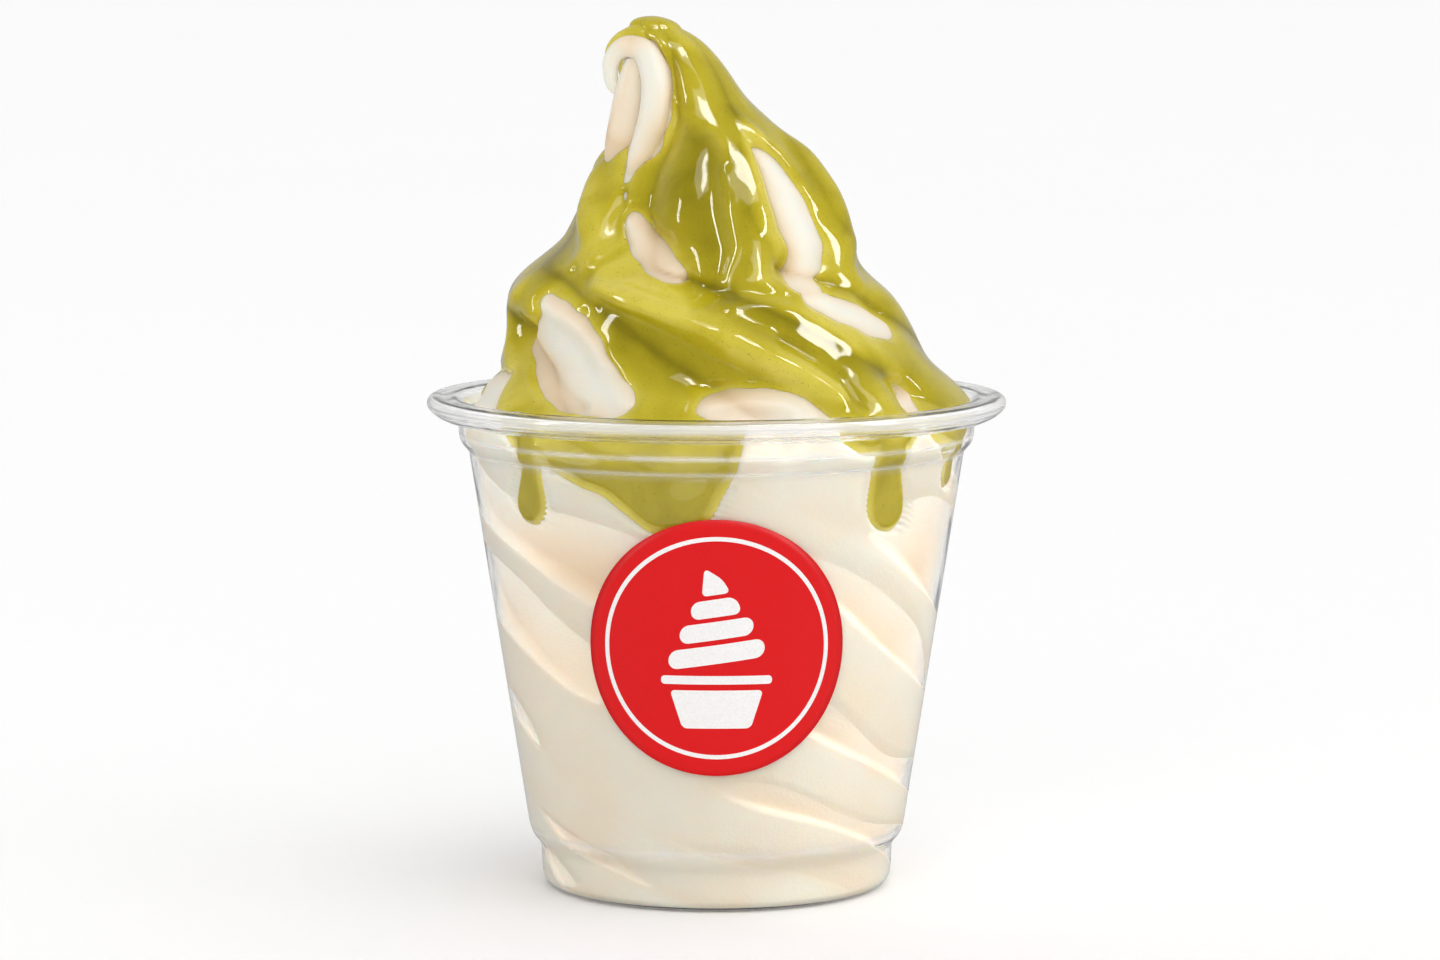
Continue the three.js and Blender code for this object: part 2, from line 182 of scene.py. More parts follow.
def lobe_profiles(angle):
    """1 on a lobe's crest and 0 in the groove beside it, for an even lobe and for one pressed to the wall.

    The angle is already free of the twist.
    """
    turned = LOBE_CRESTS[0] + np.mod(angle - LOBE_CRESTS[0], 360.0)
    crests = np.append(LOBE_CRESTS, LOBE_CRESTS[0] + 360.0)
    i = np.clip(np.searchsorted(crests, turned, side="right") - 1, 0, len(LOBE_CRESTS) - 1)
    share = (turned - crests[i]) / (crests[i + 1] - crests[i])
    across = 1 - np.abs(1 - 2 * share)
    edge = math.sqrt(1 - LOBE_FULLNESS**2)
    even = (np.sqrt(1 - (LOBE_FULLNESS * across) ** 2) - edge) / (1 - edge)
    # where the wall presses a lobe flat, it meets the next one in a fold and slopes away from it
    slanted = 1 - (1 - share) ** 1.5 * smoothstep(share, 0.0, 0.2)
    return even, slanted


# ---------- where the sauce lies ----------

SAUCE_FLOOR, SAUCE_TOP = 58.0, 142.3
SAUCE_CAP = 140.2

# Bare places in the sauce, each an outline of (angle, height) corners.
BARE_PLACES = {
    "front_left": [
        (-57.5, 97.4), (-54.1, 98.3), (-43.1, 96.5), (-37, 93.9), (-32.2, 90.9), (-28, 87.3),
        (-21.2, 84.2), (-19.7, 82.5), (-21.5, 81), (-24.7, 80.5), (-32, 80.6), (-41, 80.8),
        (-47.3, 82.4), (-56.5, 85.3), (-67.2, 88.6), (-68.8, 90.5), (-68.3, 91.4), (-57.5, 93.8),
        (-55.4, 95.4),
    ],
    "front_neck": [
        (-40.4, 109.5), (-39.1, 110.9), (-35.4, 111.1), (-30.4, 109.5), (-19.2, 106.4), (-5.6, 103),
        (-2.3, 101.3), (-5.8, 100.8), (-12, 101.4), (-22.4, 103.4), (-34.1, 106.3),
    ],
    "front_tall": [
        (35, 121.3), (40.6, 121), (47.8, 119), (50.2, 115.4), (52.6, 110.5), (53.6, 105.7),
        (53.4, 102), (43.6, 99.2), (35.7, 99), (34.2, 100), (36.7, 103.2), (33.5, 107.1),
        (31.7, 112.3), (32.4, 117.2),
    ],
    "front_sliver": [
        (35.2, 98.8), (41.7, 98.6), (58.1, 96.5), (70, 93.4), (69.7, 92.4), (63.8, 91.3), (54.7, 91.4),
        (44.4, 94.4), (35.2, 97),
    ],
    "front_shoulder": [
        (-4.9, 81.2), (-4, 82.6), (-1.4, 83.6), (6.6, 84.6), (12.8, 84.6), (18.8, 83.9), (23, 82.3),
        (28, 78), (25, 72), (9, 72), (7, 79), (0, 80.4),
    ],
    "front_right": [
        (55.6, 83.1), (57.4, 83.5), (58, 82.4), (56, 80.5), (54.1, 79.8), (49.6, 80.3), (48.9, 81.7),
    ],
    "tip": [
        (-56, 138.6), (-26.7, 138.5), (-7.5, 137.7), (-1, 134.5), (0, 132.9), (-4.6, 130.5),
        (-14.4, 126.9), (-26, 123.8), (-34.5, 120.6), (-43, 119), (-47.2, 115.6), (-49.4, 117.1),
        (-52, 120), (-62, 122.8), (-70, 124.1), (-78, 123.3), (-92, 122.6), (-106, 125), (-112, 131),
        (-96, 136.6), (-76, 138.4),
    ],
    "right_back": [(104, 98), (116, 99.6), (133, 89), (122, 86.6), (110, 90)],
    "back_neck": [(147, 118), (153, 118.6), (160, 109), (157, 103), (149, 106)],
    "back_shoulder": [(160, 90.4), (171, 92.4), (189, 84.6), (176, 83.4)],
    "left_back": [(-149, 96.6), (-140, 98), (-121, 89), (-134, 87.4), (-147, 92)],
    "left_neck": [(-115, 117), (-109, 118), (-104, 110.6), (-108, 107.4)],
}
BARE_ROUNDING = 0.3

# The sauce's lower edge round the cup, without its drips.
lower_edge = through_knots(
    [
        (-180, 72), (-150, 76), (-125, 70), (-100, 82), (-86, 84.6), (-68, 85), (-60, 80), (-54, 76),
        (-41, 71.5), (-27, 67.5), (-12, 61.5), (-5, 61.8), (1, 67.6), (4.5, 72.5), (7, 80), (10, 84),
        (18, 84), (24, 81), (29, 76), (36, 74), (47, 74.4), (52, 77.4), (58, 75), (70, 73), (78, 76),
        (95, 81), (120, 75), (150, 79),
    ],
    360.0,
)

# Drips: the angle each ends at and how far that turns for each millimetre upwards, where it starts, how low
# it hangs, and the radius of its neck and of its end.
DRIPS = [
    (-49.6, 0.3, 77, 65.6, 2.4, 3.5),
    (44, -0.2, 80, 65.4, 3.4, 4.1),
    (69, 0, 78, 69, 2.2, 2.3),
    (134, 0, 78, 66, 2.1, 2.8),
    (-168, 0, 76, 63.5, 2.1, 2.9),
    (-118, 0, 76, 67.5, 1.9, 2.5),
]


def rounded_outline(corners, rounds=2):
    """Corners of a closed outline, cut back round after round until it runs smoothly."""
    corners = np.array(corners, float)
    for _ in range(rounds):
        after = np.roll(corners, -1, axis=0)
        corners = np.stack([0.8 * corners + 0.2 * after, 0.2 * corners + 0.8 * after], axis=1)
        corners = corners.reshape(-1, 2)
    return corners


def outside_bare_place(corners, angle, height):
    """Distance outside a bare place, below zero inside it."""
    mean_height = sum(z for _, z in corners) / len(corners)
    per_degree = math.radians(1) * float(crest_radius(mean_height))
    first = corners[0][0]
    outline = rounded_outline([(angle_apart(a, first) * per_degree, z) for a, z in corners])
    place = np.stack([angle_apart(angle, first) * per_degree, height], axis=-1)
    near = np.abs(height - mean_height) < 30
    result = np.full(angle.shape, 20.0)
    spots = place[near]
    nearest = np.full(len(spots), np.inf)
    inside = np.zeros(len(spots), bool)
    for start, end in zip(outline, np.roll(outline, -1, axis=0)):
        to_spot, edge = spots - start, end - start
        along = np.clip(to_spot @ edge / (edge @ edge), 0.0, 1.0)
        away = to_spot - along[:, None] * edge
        nearest = np.minimum(nearest, np.hypot(away[:, 0], away[:, 1]))
        crosses = (start[1] > spots[:, 1]) != (end[1] > spots[:, 1])
        if edge[1]:
            inside ^= crosses & (to_spot[:, 0] < to_spot[:, 1] * edge[0] / edge[1])
    result[near] = np.where(inside, -nearest, nearest) - BARE_ROUNDING
    return result


def inside_drip(drip, angle, height):
    """Distance inside a drip, below zero outside it."""
    middle, drift, start, end, neck_radius, end_radius = drip
    middle = middle + drift * (height - end)
    across = np.radians(angle_apart(angle, middle)) * inner_wall(np.minimum(height, CUP_HEIGHT))
    below = np.maximum(end - height, 0) + np.maximum(height - start, 0)
    width = neck_radius + (end_radius - neck_radius) * (1 - smoothstep(height, end, end + 6))
    return width - np.hypot(across, below)


def sauce_depth(angle, height, ragged):
    """Distance inside the sauce's outline at a place on the cream, below zero on bare cream."""
    slope = (lower_edge(angle + 1) - lower_edge(angle - 1)) / (math.radians(2) * SHOULDER_RADIUS)
    depth = (height - lower_edge(angle)) / np.hypot(1, slope)
    for corners in BARE_PLACES.values():
        depth = np.minimum(depth, outside_bare_place(corners, angle, height))
    depth = depth + ragged
    for drip in DRIPS:
        depth = np.maximum(depth, inside_drip(drip, angle, height))
    return depth


# ---------- folds ----------

# Folds in the cream where it is bare: how far each rises, below zero for a crease, and its line as
# (angle, height, half width).
CREAM_FOLDS = {
    "left_edge": (1.3, [
        (-54, 96.6, 1.6), (-42, 94.6, 2.6), (-33.7, 90.6, 2.8), (-25.4, 85.5, 2.6), (-21.4, 82.4, 1.6),
    ]),
    "left_crease": (-1.8, [(-66, 89.6, 0.8), (-54, 86.0, 1.0), (-43, 83.2, 0.9), (-33, 81.2, 0.7)]),
    "neck": (0.9, [(-37.5, 109.6, 1.2), (-27.5, 106.7, 2.6), (-12, 103, 2.4), (-5, 101.8, 1.2)]),
    "tall": (0.7, [(38, 119, 2), (43, 112, 4), (44.2, 105.8, 5), (44, 100.5, 4)]),
    "shoulder": (0.6, [(-2, 81.6, 1.5), (8, 82.8, 2.4), (18, 81.8, 2.4), (25, 78, 1.5)]),
    "shoulder_crease": (-0.7, [(19, 83.4, 0.4), (21.5, 80, 0.6)]),
}

# Folds in the sauce, in the same way.
SAUCE_FOLDS = {
    "tongue": (2.9, [(-3, 122, 3.8), (-6, 116, 5.6), (-5, 110, 5.8), (0, 105, 4.8), (3.6, 103, 3.8)]),
    "right_lobe": (2.4, [
        (40, 124, 2.2), (29.5, 119.2, 3.2), (25.3, 112.3, 3.6), (25, 106.8, 3.4), (24, 102.4, 2.6),
    ]),
    "left_strand": (2.8, [(-84, 120, 2.2), (-62.9, 111.8, 3.0), (-50, 107.4, 3.0), (-42, 104.2, 2.9)]),
    "right_strand": (1.7, [(80, 120.3, 3.4), (72, 112.3, 4.4), (65.5, 104.5, 4.4), (62, 100, 3.4)]),
    "ridge_a": (4.0, [
        (-31.5, 101.7, 2.6), (-13.6, 98.4, 3.1), (-0.6, 94.4, 3.3), (10.4, 90.4, 3.3),
        (22.6, 86.7, 3.1), (29.5, 84.7, 2.6),
    ]),
    "second_ridge": (1.9, [
        (16.2, 98.6, 2.2), (28.3, 96, 2.8), (39, 92.6, 3.0), (48.6, 89, 3.0), (55, 85.6, 2.6),
    ]),
    "flow": (1.8, [(41, 90, 2.4), (42.5, 86, 3.6), (42, 82, 4.0), (43, 78, 3.6)]),
    "left_rim_strand": (1.4, [
        (-69.4, 98.9, 1.6), (-78.5, 94.6, 1.8), (-76, 89.1, 1.8), (-66, 84.6, 1.8), (-54, 79.9, 2.2),
    ]),
}

# Creases in the sauce, in the same way.
SAUCE_CREASES = {
    "tongue": (-1.3, [(9.5, 118, 1.1), (8, 112, 1.6), (10, 106, 1.7), (12, 101.6, 1.4)]),
    "neck": (-1.7, [
        (-47, 102.4, 0.8), (-38, 101.4, 1.0), (-20, 101.4, 1.0), (-3, 99.6, 1.2), (8.2, 99.4, 1.2),
        (19, 99.2, 1.0), (29, 98.4, 0.8),
    ]),
    "ridge_end": (-2.2, [(20, 92, 0.8), (29.5, 88.4, 1.1), (34, 85.2, 1.2), (35, 82, 0.9)]),
    "strand": (-1.5, [(-48.1, 118, 0.8), (-44.2, 112.1, 1.0), (-41, 107.9, 1.0)]),
    "under_ridge_a": (-1.1, [
        (-31, 97.2, 1.4), (-13.6, 93.8, 1.8), (-0.6, 89.9, 1.8), (10.4, 86.4, 1.7), (18, 84.6, 1.3),
    ]),
}

# The larger bubbles in the sauce, as (angle, height, radius).
BUBBLES = [(8.4, 97.8, 1.5), (-40.9, 104.4, 0.8), (-5, 128.5, 0.7), (24, 81.6, 0.6), (-17.5, 81.8, 0.6)]

# ---------- the food's grid ----------

GRID_COLUMNS = 720
GRID_STEP = 0.25

# The food is pressed against the wall below the first height and is free of it above the second.
PRESSED, FREE = 68, 84
# The sauce hangs down inside the cup below the first height and lies over the peak above the second.
HANGS, LIES = 76, 84
# How far, in columns and rows of the grid, the sauce levels out over the cream, and how often, and how far
# its weight draws its skin smooth.
POOLING, POOLING_ROUNDS = (3.0, 4.0), 3
SKIN = (4.5, 4.5)
# How steeply the sauce rises from its edge, and how thin it may lie.
EDGE_SLOPE, THINNEST = 1.8, 0.45
# The small bubbles in the front of the sauce: how many, and how far they and the larger ones stand out.
SMALL_BUBBLES, SMALL_BUBBLE_RISE, BUBBLE_RISE = 22, 0.14, 0.5
# The sauce is as olive as it gets where it is this thick.
OLIVE_THICKNESS = 6


def softened(values, columns, rows):
    """Values on the grid, blurred by so many columns round the cup and rows up it."""
    count = values.shape[1]
    fade = np.exp(-2 * (math.pi * np.fft.rfftfreq(count) * columns) ** 2)
    values = np.fft.irfft(np.fft.rfft(values, axis=1) * fade, count, axis=1)
    spare = int(4 * rows) + 1
    padded = np.pad(values, ((spare, spare), (0, 0)), mode="reflect", reflect_type="odd")
    count = len(padded)
    fade = np.exp(-2 * (math.pi * np.fft.rfftfreq(count) * rows) ** 2)[:, None]
    return np.fft.irfft(np.fft.rfft(padded, axis=0) * fade, count, axis=0)[spare:-spare]


def domes(angle, height, radius, spots):
    """Round bumps 1 high on the grid, at (angle, height, size) spots."""
    total = np.zeros(angle.shape)
    for spot_angle, spot_height, size in spots:
        rows = np.abs(height[:, 0] - spot_height) < size
        across = np.radians(angle_apart(angle[rows], spot_angle)) * radius[rows]
        away = np.hypot(across, height[rows] - spot_height) / size
        total[rows] = np.maximum(total[rows], np.sqrt(np.clip(1 - away**2, 0, None)))
    return total


def folds(angle, height, radius, lines):
    """How far the folds stand out at each place on the grid."""
    total = np.zeros(angle.shape)
    for rise, line in lines.values():
        heights = [z for _, z, _ in line]
        rows = (height[:, 0] > min(heights) - 8) & (height[:, 0] < max(heights) + 8)
        per_degree = math.radians(1) * radius[rows]
        middle = line[len(line) // 2][0]
        turned = angle_apart(angle[rows], middle)
        nearest = np.full(turned.shape, np.inf)
        for (a0, z0, w0), (a1, z1, w1) in zip(line, line[1:]):
            x0, x1 = ((turned - angle_apart(a, middle)) * per_degree for a in (a0, a1))
            y0, y1 = height[rows] - z0, height[rows] - z1
            dx, dy = x0 - x1, y0 - y1
            along = np.clip((x0 * dx + y0 * dy) / (dx * dx + dy * dy), 0, 1)
            away = np.hypot(x0 - along * dx, y0 - along * dy) / (w0 + (w1 - w0) * along)
            nearest = np.minimum(nearest, away)
        if rise > 0:
            share = np.clip(1 - (nearest / 1.15) ** 2, 0, None) ** 1.4
        else:
            share = np.exp(-(nearest**2))
        total[rows] += rise * share
    return softened(total, 1.3, 2.2)


class Places:
    """The grid of angles and heights that the food is worked out on, and what lies at each place on it."""

    def __init__(self):
        degrees = np.arange(GRID_COLUMNS) * 360.0 / GRID_COLUMNS - 180.0
        self.heights = np.arange(CREAM_FLOOR, CREAM_TOP + GRID_STEP, GRID_STEP)
        self.angle, self.height = np.meshgrid(degrees, self.heights)
        self.crest = crest_radius(self.height)
        turn = np.radians(self.angle)
        x = side_shift(self.height) + self.crest * np.sin(turn)
        self.space = np.stack([x, -self.crest * np.cos(turn), self.height], axis=-1)
        ragged = 0.16 * unevenness(self.space, 6.0, 11)
        self.depth = sauce_depth(self.angle, self.height, ragged)
        self.in_cup = self.height <= CUP_HEIGHT
        self.farthest = inner_wall(self.height) + REACH_INTO_WALL

    def folded(self, lines):
        return folds(self.angle, self.height, self.crest, lines)


def cream_surface(at, sauce_thickness):
    """The cream's radius, the level that sauce pools to over it, its grooves' depth, and its painted shade.
    """
    height, depth = at.height, at.depth
    pressed = 1 - smoothstep(height, PRESSED, FREE)
    wander = 7.0 * unevenness(at.space, 40.0, 43) * pressed
    even, slanted = lobe_profiles(at.angle - twist(height) + wander)
    slack = np.clip(0.95 + 0.65 * unevenness(at.space, 30.0, 41), 0.15, 2.0)
    # the lobes on the right lie flatter, under the sauce that runs down there
    flatter = 1 - 0.65 * np.exp(-((angle_apart(at.angle, 96) / 40) ** 2)) * smoothstep(height, 95, 103)
    # a bare place is where a lobe stands out, so the cream is plump there
    bare = smoothstep(-depth, -1.0, 1.5) * smoothstep(height, 80, 83) * (1 - smoothstep(height, 112, 117))
    between = groove_depth(height) * (1 - even) * (1 - pressed) * flatter
    behind = (1 - slanted) * slack * pressed
    groove = between * (1 - 0.75 * bare) + groove_depth(height) * behind
    free = at.crest - groove + at.folded(CREAM_FOLDS)
    room = (sauce_thickness + REACH_INTO_WALL + 0.3) * smoothstep(depth, -1.0, 1.6)
    cream = np.where(at.in_cup, np.minimum(free, at.farthest - room), free)
    cream = cream + 0.1 * unevenness(at.space, 7.0, 5) * smoothstep(height, CUP_HEIGHT, CUP_HEIGHT + 4)

    pooled = cream
    for _ in range(POOLING_ROUNDS):
        pooled = softened(np.maximum(pooled, cream), *POOLING)
    pooled = np.maximum(pooled, cream)
    cream = cream + 0.3 * bare * (pooled - cream)

    # painted shade darkens the colour in the folds, where the cream stands off the wall, and beside the
    # sauce
    in_cup = 0.09 + (at.farthest - cream) / 9 + 0.14 * behind
    # above the rim, the darkening beside the sauce is partly a thin stain of sauce and partly painted shade
    above = 0.02 + 0.13 * between + 0.35 * np.exp(np.minimum(depth, 0) / 1.3)
    return cream, pooled, groove, np.clip(np.where(at.in_cup, in_cup, above), 0, 1)


def sauce_surface(at, cream, pooled, groove, sauce_thickness, ripple):
    """The sauce's radius, and how olive it is from 0 to 1, with painted highlight on folds and painted shade
    in creases.
    """
    angle, height, depth = at.angle, at.height, at.depth
    # above the rim the sauce fills most of each groove, and its own folds give it its shape
    above = smoothstep(height, HANGS, LIES)
    uneven = 1 + 0.08 * unevenness(at.space, 16.0, 21)
    full = sauce_thickness * uneven + (pooled - cream) + (0.35 + 0.3 * above) * groove
    full = full + ripple * unevenness(at.space, 6.0, 31)
    # it gathers in a roll above each lower edge
    up = np.gradient(depth, GRID_STEP, axis=0)
    roll = 0.5 * np.clip(up, 0, 1) * np.exp(-(((depth - 1.6) / 1.4) ** 2))
    full = full + roll * sauce_thickness
    full = full + 1.2 * at.folded(SAUCE_FOLDS)
    full = np.maximum(full, THINNEST)
    rise = EDGE_SLOPE * depth
    thickness = np.where(depth > 0, full * (1 - np.exp(-rise / full)), np.maximum(rise, -2.6))
    sauce = cream + thickness

    # its weight draws the skin of the sauce smooth, away from its edges
    sauce = sauce + smoothstep(depth, 0.6, 3.0) * above * (softened(sauce, *SKIN) - sauce)
    creases = at.folded(SAUCE_CREASES)
    sauce = sauce + smoothstep(depth, 0.4, 1.6) * above * creases
    random = np.random.default_rng(7)
    small = [
        (random.uniform(-55, 50), random.uniform(84, 130), random.uniform(0.25, 0.5))
        for _ in range(SMALL_BUBBLES)
    ]
    raised = SMALL_BUBBLE_RISE * domes(angle, height, at.crest, small)
    raised = raised + BUBBLE_RISE * domes(angle, height, at.crest, BUBBLES)
    sauce = sauce + raised * smoothstep(depth, 0.2, 1.0)

    # a drip is a round bead pressed flat against the wall
    drip = np.max([inside_drip(drip, angle, height) for drip in DRIPS], axis=0)
    bead = at.farthest - 1.6 * (1 - np.clip(drip / 1.1, 0, 1)) ** 2
    sauce = np.where(at.in_cup & (drip > 0), np.maximum(sauce, bead), sauce)
    sauce = np.where(at.in_cup, np.minimum(sauce, at.farthest), sauce)

    # the sauce is more olive where it lies thick and where it pools
    # painted highlight makes its narrow folds paler, and painted shade makes its creases darker
    folds_painted_paler = {name: fold for name, fold in SAUCE_FOLDS.items() if name != "tongue"}
    olive_and_painted_light = sauce - cream - 1.1 * at.folded(folds_painted_paler) - 0.8 * creases
    return sauce, np.clip(olive_and_painted_light / OLIVE_THICKNESS, 0, 1)


@functools.cache
def food_grid(sauce_thickness, ripple):
    """The food's two surfaces, as radii in millimetres on a grid of heights by angles, and their colours."""
    at = Places()
    cream, pooled, groove, painted_shade_and_stain = cream_surface(at, sauce_thickness)
    sauce, olive_and_painted_light = sauce_surface(at, cream, pooled, groove, sauce_thickness, ripple)
    return {"heights": at.heights, "cream": cream, "sauce": sauce, "olive_and_painted_light": olive_and_painted_light, "painted_shade_and_stain": painted_shade_and_stain}


def on_grid(grid, name, angle, height):
    """A value of the grid between its points."""
    values, heights = grid[name], grid["heights"]
    column = np.mod((angle + 180.0) * GRID_COLUMNS / 360.0, GRID_COLUMNS)
    row = np.clip((height - heights[0]) / GRID_STEP, 0, len(heights) - 1.001)
    c0, r0 = np.floor(column).astype(int) % GRID_COLUMNS, np.floor(row).astype(int)
    c1, r1 = (c0 + 1) % GRID_COLUMNS, r0 + 1
    right, above = column - np.floor(column), row - r0
    low = values[r0, c0] * (1 - right) + values[r0, c1] * right
    high = values[r1, c0] * (1 - right) + values[r1, c1] * right
    return low * (1 - above) + high * above


# ---------- meshes ----------


def finished(name, bm):
    """A smooth-shaded object at the origin from a bmesh, which it frees."""
    mesh = bpy.data.meshes.new(name)
    bm.to_mesh(mesh)
    bm.free()
    mesh.shade_smooth()
    piece = bpy.data.objects.new(name, mesh)
    bpy.context.collection.objects.link(piece)
    return piece


def turned(profile, steps):
    """A bmesh of a line of (radius, height) points spun round the Z axis, with closed poles."""
    bm = bmesh.new()
    line = [bm.verts.new((r, 0, z)) for r, z in profile]
    edges = [bm.edges.new(pair) for pair in zip(line, line[1:])]
    bmesh.ops.spin(
        bm, geom=line + edges, cent=(0, 0, 0), axis=(0, 0, 1), angle=2 * math.pi, steps=steps,
        use_merge=True,
    )
    bmesh.ops.remove_doubles(bm, verts=bm.verts, dist=1e-7)
    bmesh.ops.recalc_face_normals(bm, faces=bm.faces)
    return bm


def vertex_places(piece):
    """The places of all of a piece's vertices, one to a row."""
    co = np.empty(len(piece.data.vertices) * 3)
    piece.data.vertices.foreach_get("co", co)
    return co.reshape(-1, 3)


def moved(piece, place):
    """Moves all of a piece's vertices at once, by a function from their places to new ones."""
    piece.data.vertices.foreach_set("co", place(vertex_places(piece)).ravel())
    piece.data.update()


def store(piece, name, values):
    """Stores a value at each of the piece's vertices, for its material."""
    piece.data.attributes.new(name, "FLOAT", "POINT").data.foreach_set("value", values)


def food_body(name, heights, columns, radius_at, high, top, floor, skew=lambda height: 0.0):
    """A closed body round the leaning axis, whose radius is a function of angle and height.

    Its floor is a line of (radius, height) points from the axis outwards, and skew is the angle by which its
    columns have turned at a height.
    """
    heights = np.array([*(z for _, z in floor), *heights, top])
    bm = bmesh.new()
    bmesh.ops.create_grid(bm, x_segments=columns, y_segments=len(heights) - 1, size=1.0)
    piece = finished(name, bm)

    def rolled(co):
        row = np.rint((co[:, 1] + 1) / 2 * (len(heights) - 1)).astype(int)
        height = heights[row]
        angle = 180.0 * co[:, 0] + skew(height)
        radius = radius_at(angle, np.minimum(height, high))
        cap = np.sqrt(np.clip(1 - ((height - high) / (top - high)) ** 2, 0, 1))
        radius = np.where(height > high, radius * cap, radius)
        for i, (floor_radius, _) in enumerate(floor):
            radius[row == i] = floor_radius
        radius[row == len(heights) - 1] = 0.0
        turn = np.radians(angle)
        x = side_shift(height) + radius * np.sin(turn)
        return np.stack([x, -radius * np.cos(turn), height], axis=1) * MM

    moved(piece, rolled)
    bm = bmesh.new()
    bm.from_mesh(piece.data)
    bmesh.ops.remove_doubles(bm, verts=bm.verts, dist=1e-6)
    bmesh.ops.recalc_face_normals(bm, faces=bm.faces)
    bm.to_mesh(piece.data)
    bm.free()
    return piece


def paint_from_grid(piece, grid, name):
    """Stores a value of the grid at each of the piece's vertices."""
    x, y, z = vertex_places(piece).T / MM
    angle = np.degrees(np.arctan2(x - side_shift(z), -y))
    store(piece, name, on_grid(grid, name, angle, z))


def rows_up(*stretches):
    """Heights from low to high, from (low, high, step) stretches."""
    heights = []
    for low, high, step in stretches:
        heights += list(np.linspace(low, high, max(2, round((high - low) / step)), endpoint=False))
    return heights


def cap_rows(start, top, count):
    """Heights that close in on the top of a dome."""
    return [top - (top - start) * (1 - i / count) ** 2 for i in range(count)]


def rope(name, points, sides=28, steps=90):
    """A rod through (x, y, z, radius) points, in millimetres, round in section, with closed ends."""
    knots = np.linspace(0, 1, len(points))
    *path, thick = [through_knots(list(zip(knots, axis))) for axis in zip(*points)]
    share = np.linspace(0, 1, steps + 1)
    middle = np.stack([axis(share) for axis in path], axis=1)
    for _ in range(3):
        middle[1:-1] = (middle[:-2] + 2 * middle[1:-1] + middle[2:]) / 4
    along = np.gradient(middle, axis=0)
    bm = bmesh.new()
    ring = bmesh.ops.create_circle(bm, segments=sides, radius=1.0, cap_ends=True)["verts"]
    edges = list({e for v in ring for e in v.link_edges})
    was = Matrix.Identity(4)
    side = Vector((0, -1, 0))
    for i in range(steps + 1):
        forward = Vector(along[i]).normalized()
        side = (side - forward * side.dot(forward)).normalized()
        other = forward.cross(side)
        near_end = min(i, steps - i) / 2.0
        size = float(thick(share[i])) * (math.sin(min(near_end, 1) * math.pi / 2) * 0.75 + 0.25)
        turn = Matrix((side, other, forward)).transposed().to_4x4()
        now = Matrix.Translation(Vector(middle[i]) * MM) @ turn @ Matrix.Scale(size * MM, 4)
        if i:
            made = bmesh.ops.extrude_edge_only(bm, edges=edges)["geom"]
            ring = [g for g in made if isinstance(g, bmesh.types.BMVert)]
            edges = [g for g in made if isinstance(g, bmesh.types.BMEdge)]
        bmesh.ops.transform(bm, matrix=now @ was.inverted(), verts=ring)
        was = now
    bmesh.ops.contextual_create(bm, geom=edges)
    bmesh.ops.recalc_face_normals(bm, faces=bm.faces)
    return finished(name, bm)


def with_modifiers(piece):
    """The piece with its modifiers applied."""
    depsgraph = bpy.context.evaluated_depsgraph_get()
    mesh = bpy.data.meshes.new_from_object(piece.evaluated_get(depsgraph), depsgraph=depsgraph)
    old = piece.data
    piece.modifiers.clear()
    piece.data = mesh
    mesh.name = piece.name
    bpy.data.meshes.remove(old)
    return piece


def cut_or_join(piece, other, operation):
    """The piece joined with another closed body or cut by it. The other body is used up."""
    modifier = piece.modifiers.new(operation.lower(), "BOOLEAN")
    modifier.operation = operation
    modifier.solver = "MANIFOLD"
    modifier.object = other
    with_modifiers(piece)
    bpy.data.objects.remove(other)
    if not piece.data.polygons:
        raise RuntimeError(f"{piece.name} came out empty after {operation}")
    return piece


# ---------- materials ----------


def linear(hex_colour):
    """An sRGB hex colour as linear red, green, blue and alpha."""
    parts = [int(hex_colour[i : i + 2], 16) / 255 for i in (1, 3, 5)]
    return (*(c / 12.92 if c <= 0.04045 else ((c + 0.055) / 1.055) ** 2.4 for c in parts), 1.0)


def add_node(tree, kind, inputs=None, stops=None, **settings):
    """Adds a node with its settings, its inputs' values or links, and the stops of its colour ramp."""
    node = tree.nodes.new(kind)
    for name, value in settings.items():
        setattr(node, name, value)
    for name, value in (inputs or {}).items():
        if isinstance(value, bpy.types.NodeSocket):
            tree.links.new(value, node.inputs[name])
        else:
            node.inputs[name].default_value = value
    if stops:
        elements = node.color_ramp.elements
        while len(elements) < len(stops):
            elements.new(1.0)
        for element, (position, colour) in zip(elements, stops):
            element.position = position
            element.color = colour
    return node


def new_material(name):
    """An empty node material, with its tree, its Principled shader and the Object coordinates."""
    material = bpy.data.materials.new(name)
    material.use_nodes = True
    tree = material.node_tree
    place = add_node(tree, "ShaderNodeTexCoord").outputs["Object"]
    return material, tree, tree.nodes["Principled BSDF"], place


def noise(tree, place, scale, detail, distortion=0.0):
    """Soft noise from 0 to 1, whose patches are about 1 / scale metres across."""
    inputs = {"Vector": place, "Scale": scale, "Detail": detail, "Distortion": distortion}
    return add_node(tree, "ShaderNodeTexNoise", inputs).outputs["Fac"]


def stored(tree, name):
    """A value that was stored at the piece's vertices."""
    return add_node(tree, "ShaderNodeAttribute", attribute_name=name).outputs["Fac"]


def worked_out(tree, operation, *values, **settings):
    """The result of a sum."""
    node = add_node(tree, "ShaderNodeMath", dict(enumerate(values)), operation=operation, **settings)
    return node.outputs["Value"]


def in_range(tree, value, from_low, from_high, to_low, to_high):
    """A value carried over from one range to another, and held inside it."""
    inputs = {
        "Value": value, "From Min": from_low, "From Max": from_high, "To Min": to_low, "To Max": to_high,
    }
    return add_node(tree, "ShaderNodeMapRange", inputs).outputs["Result"]


def between_colours(tree, share, first, second):
    """A colour part of the way from the first to the second."""
    inputs = {"Factor": share, "A": first, "B": second}
    return add_node(tree, "ShaderNodeMix", inputs, data_type="RGBA").outputs["Result"]


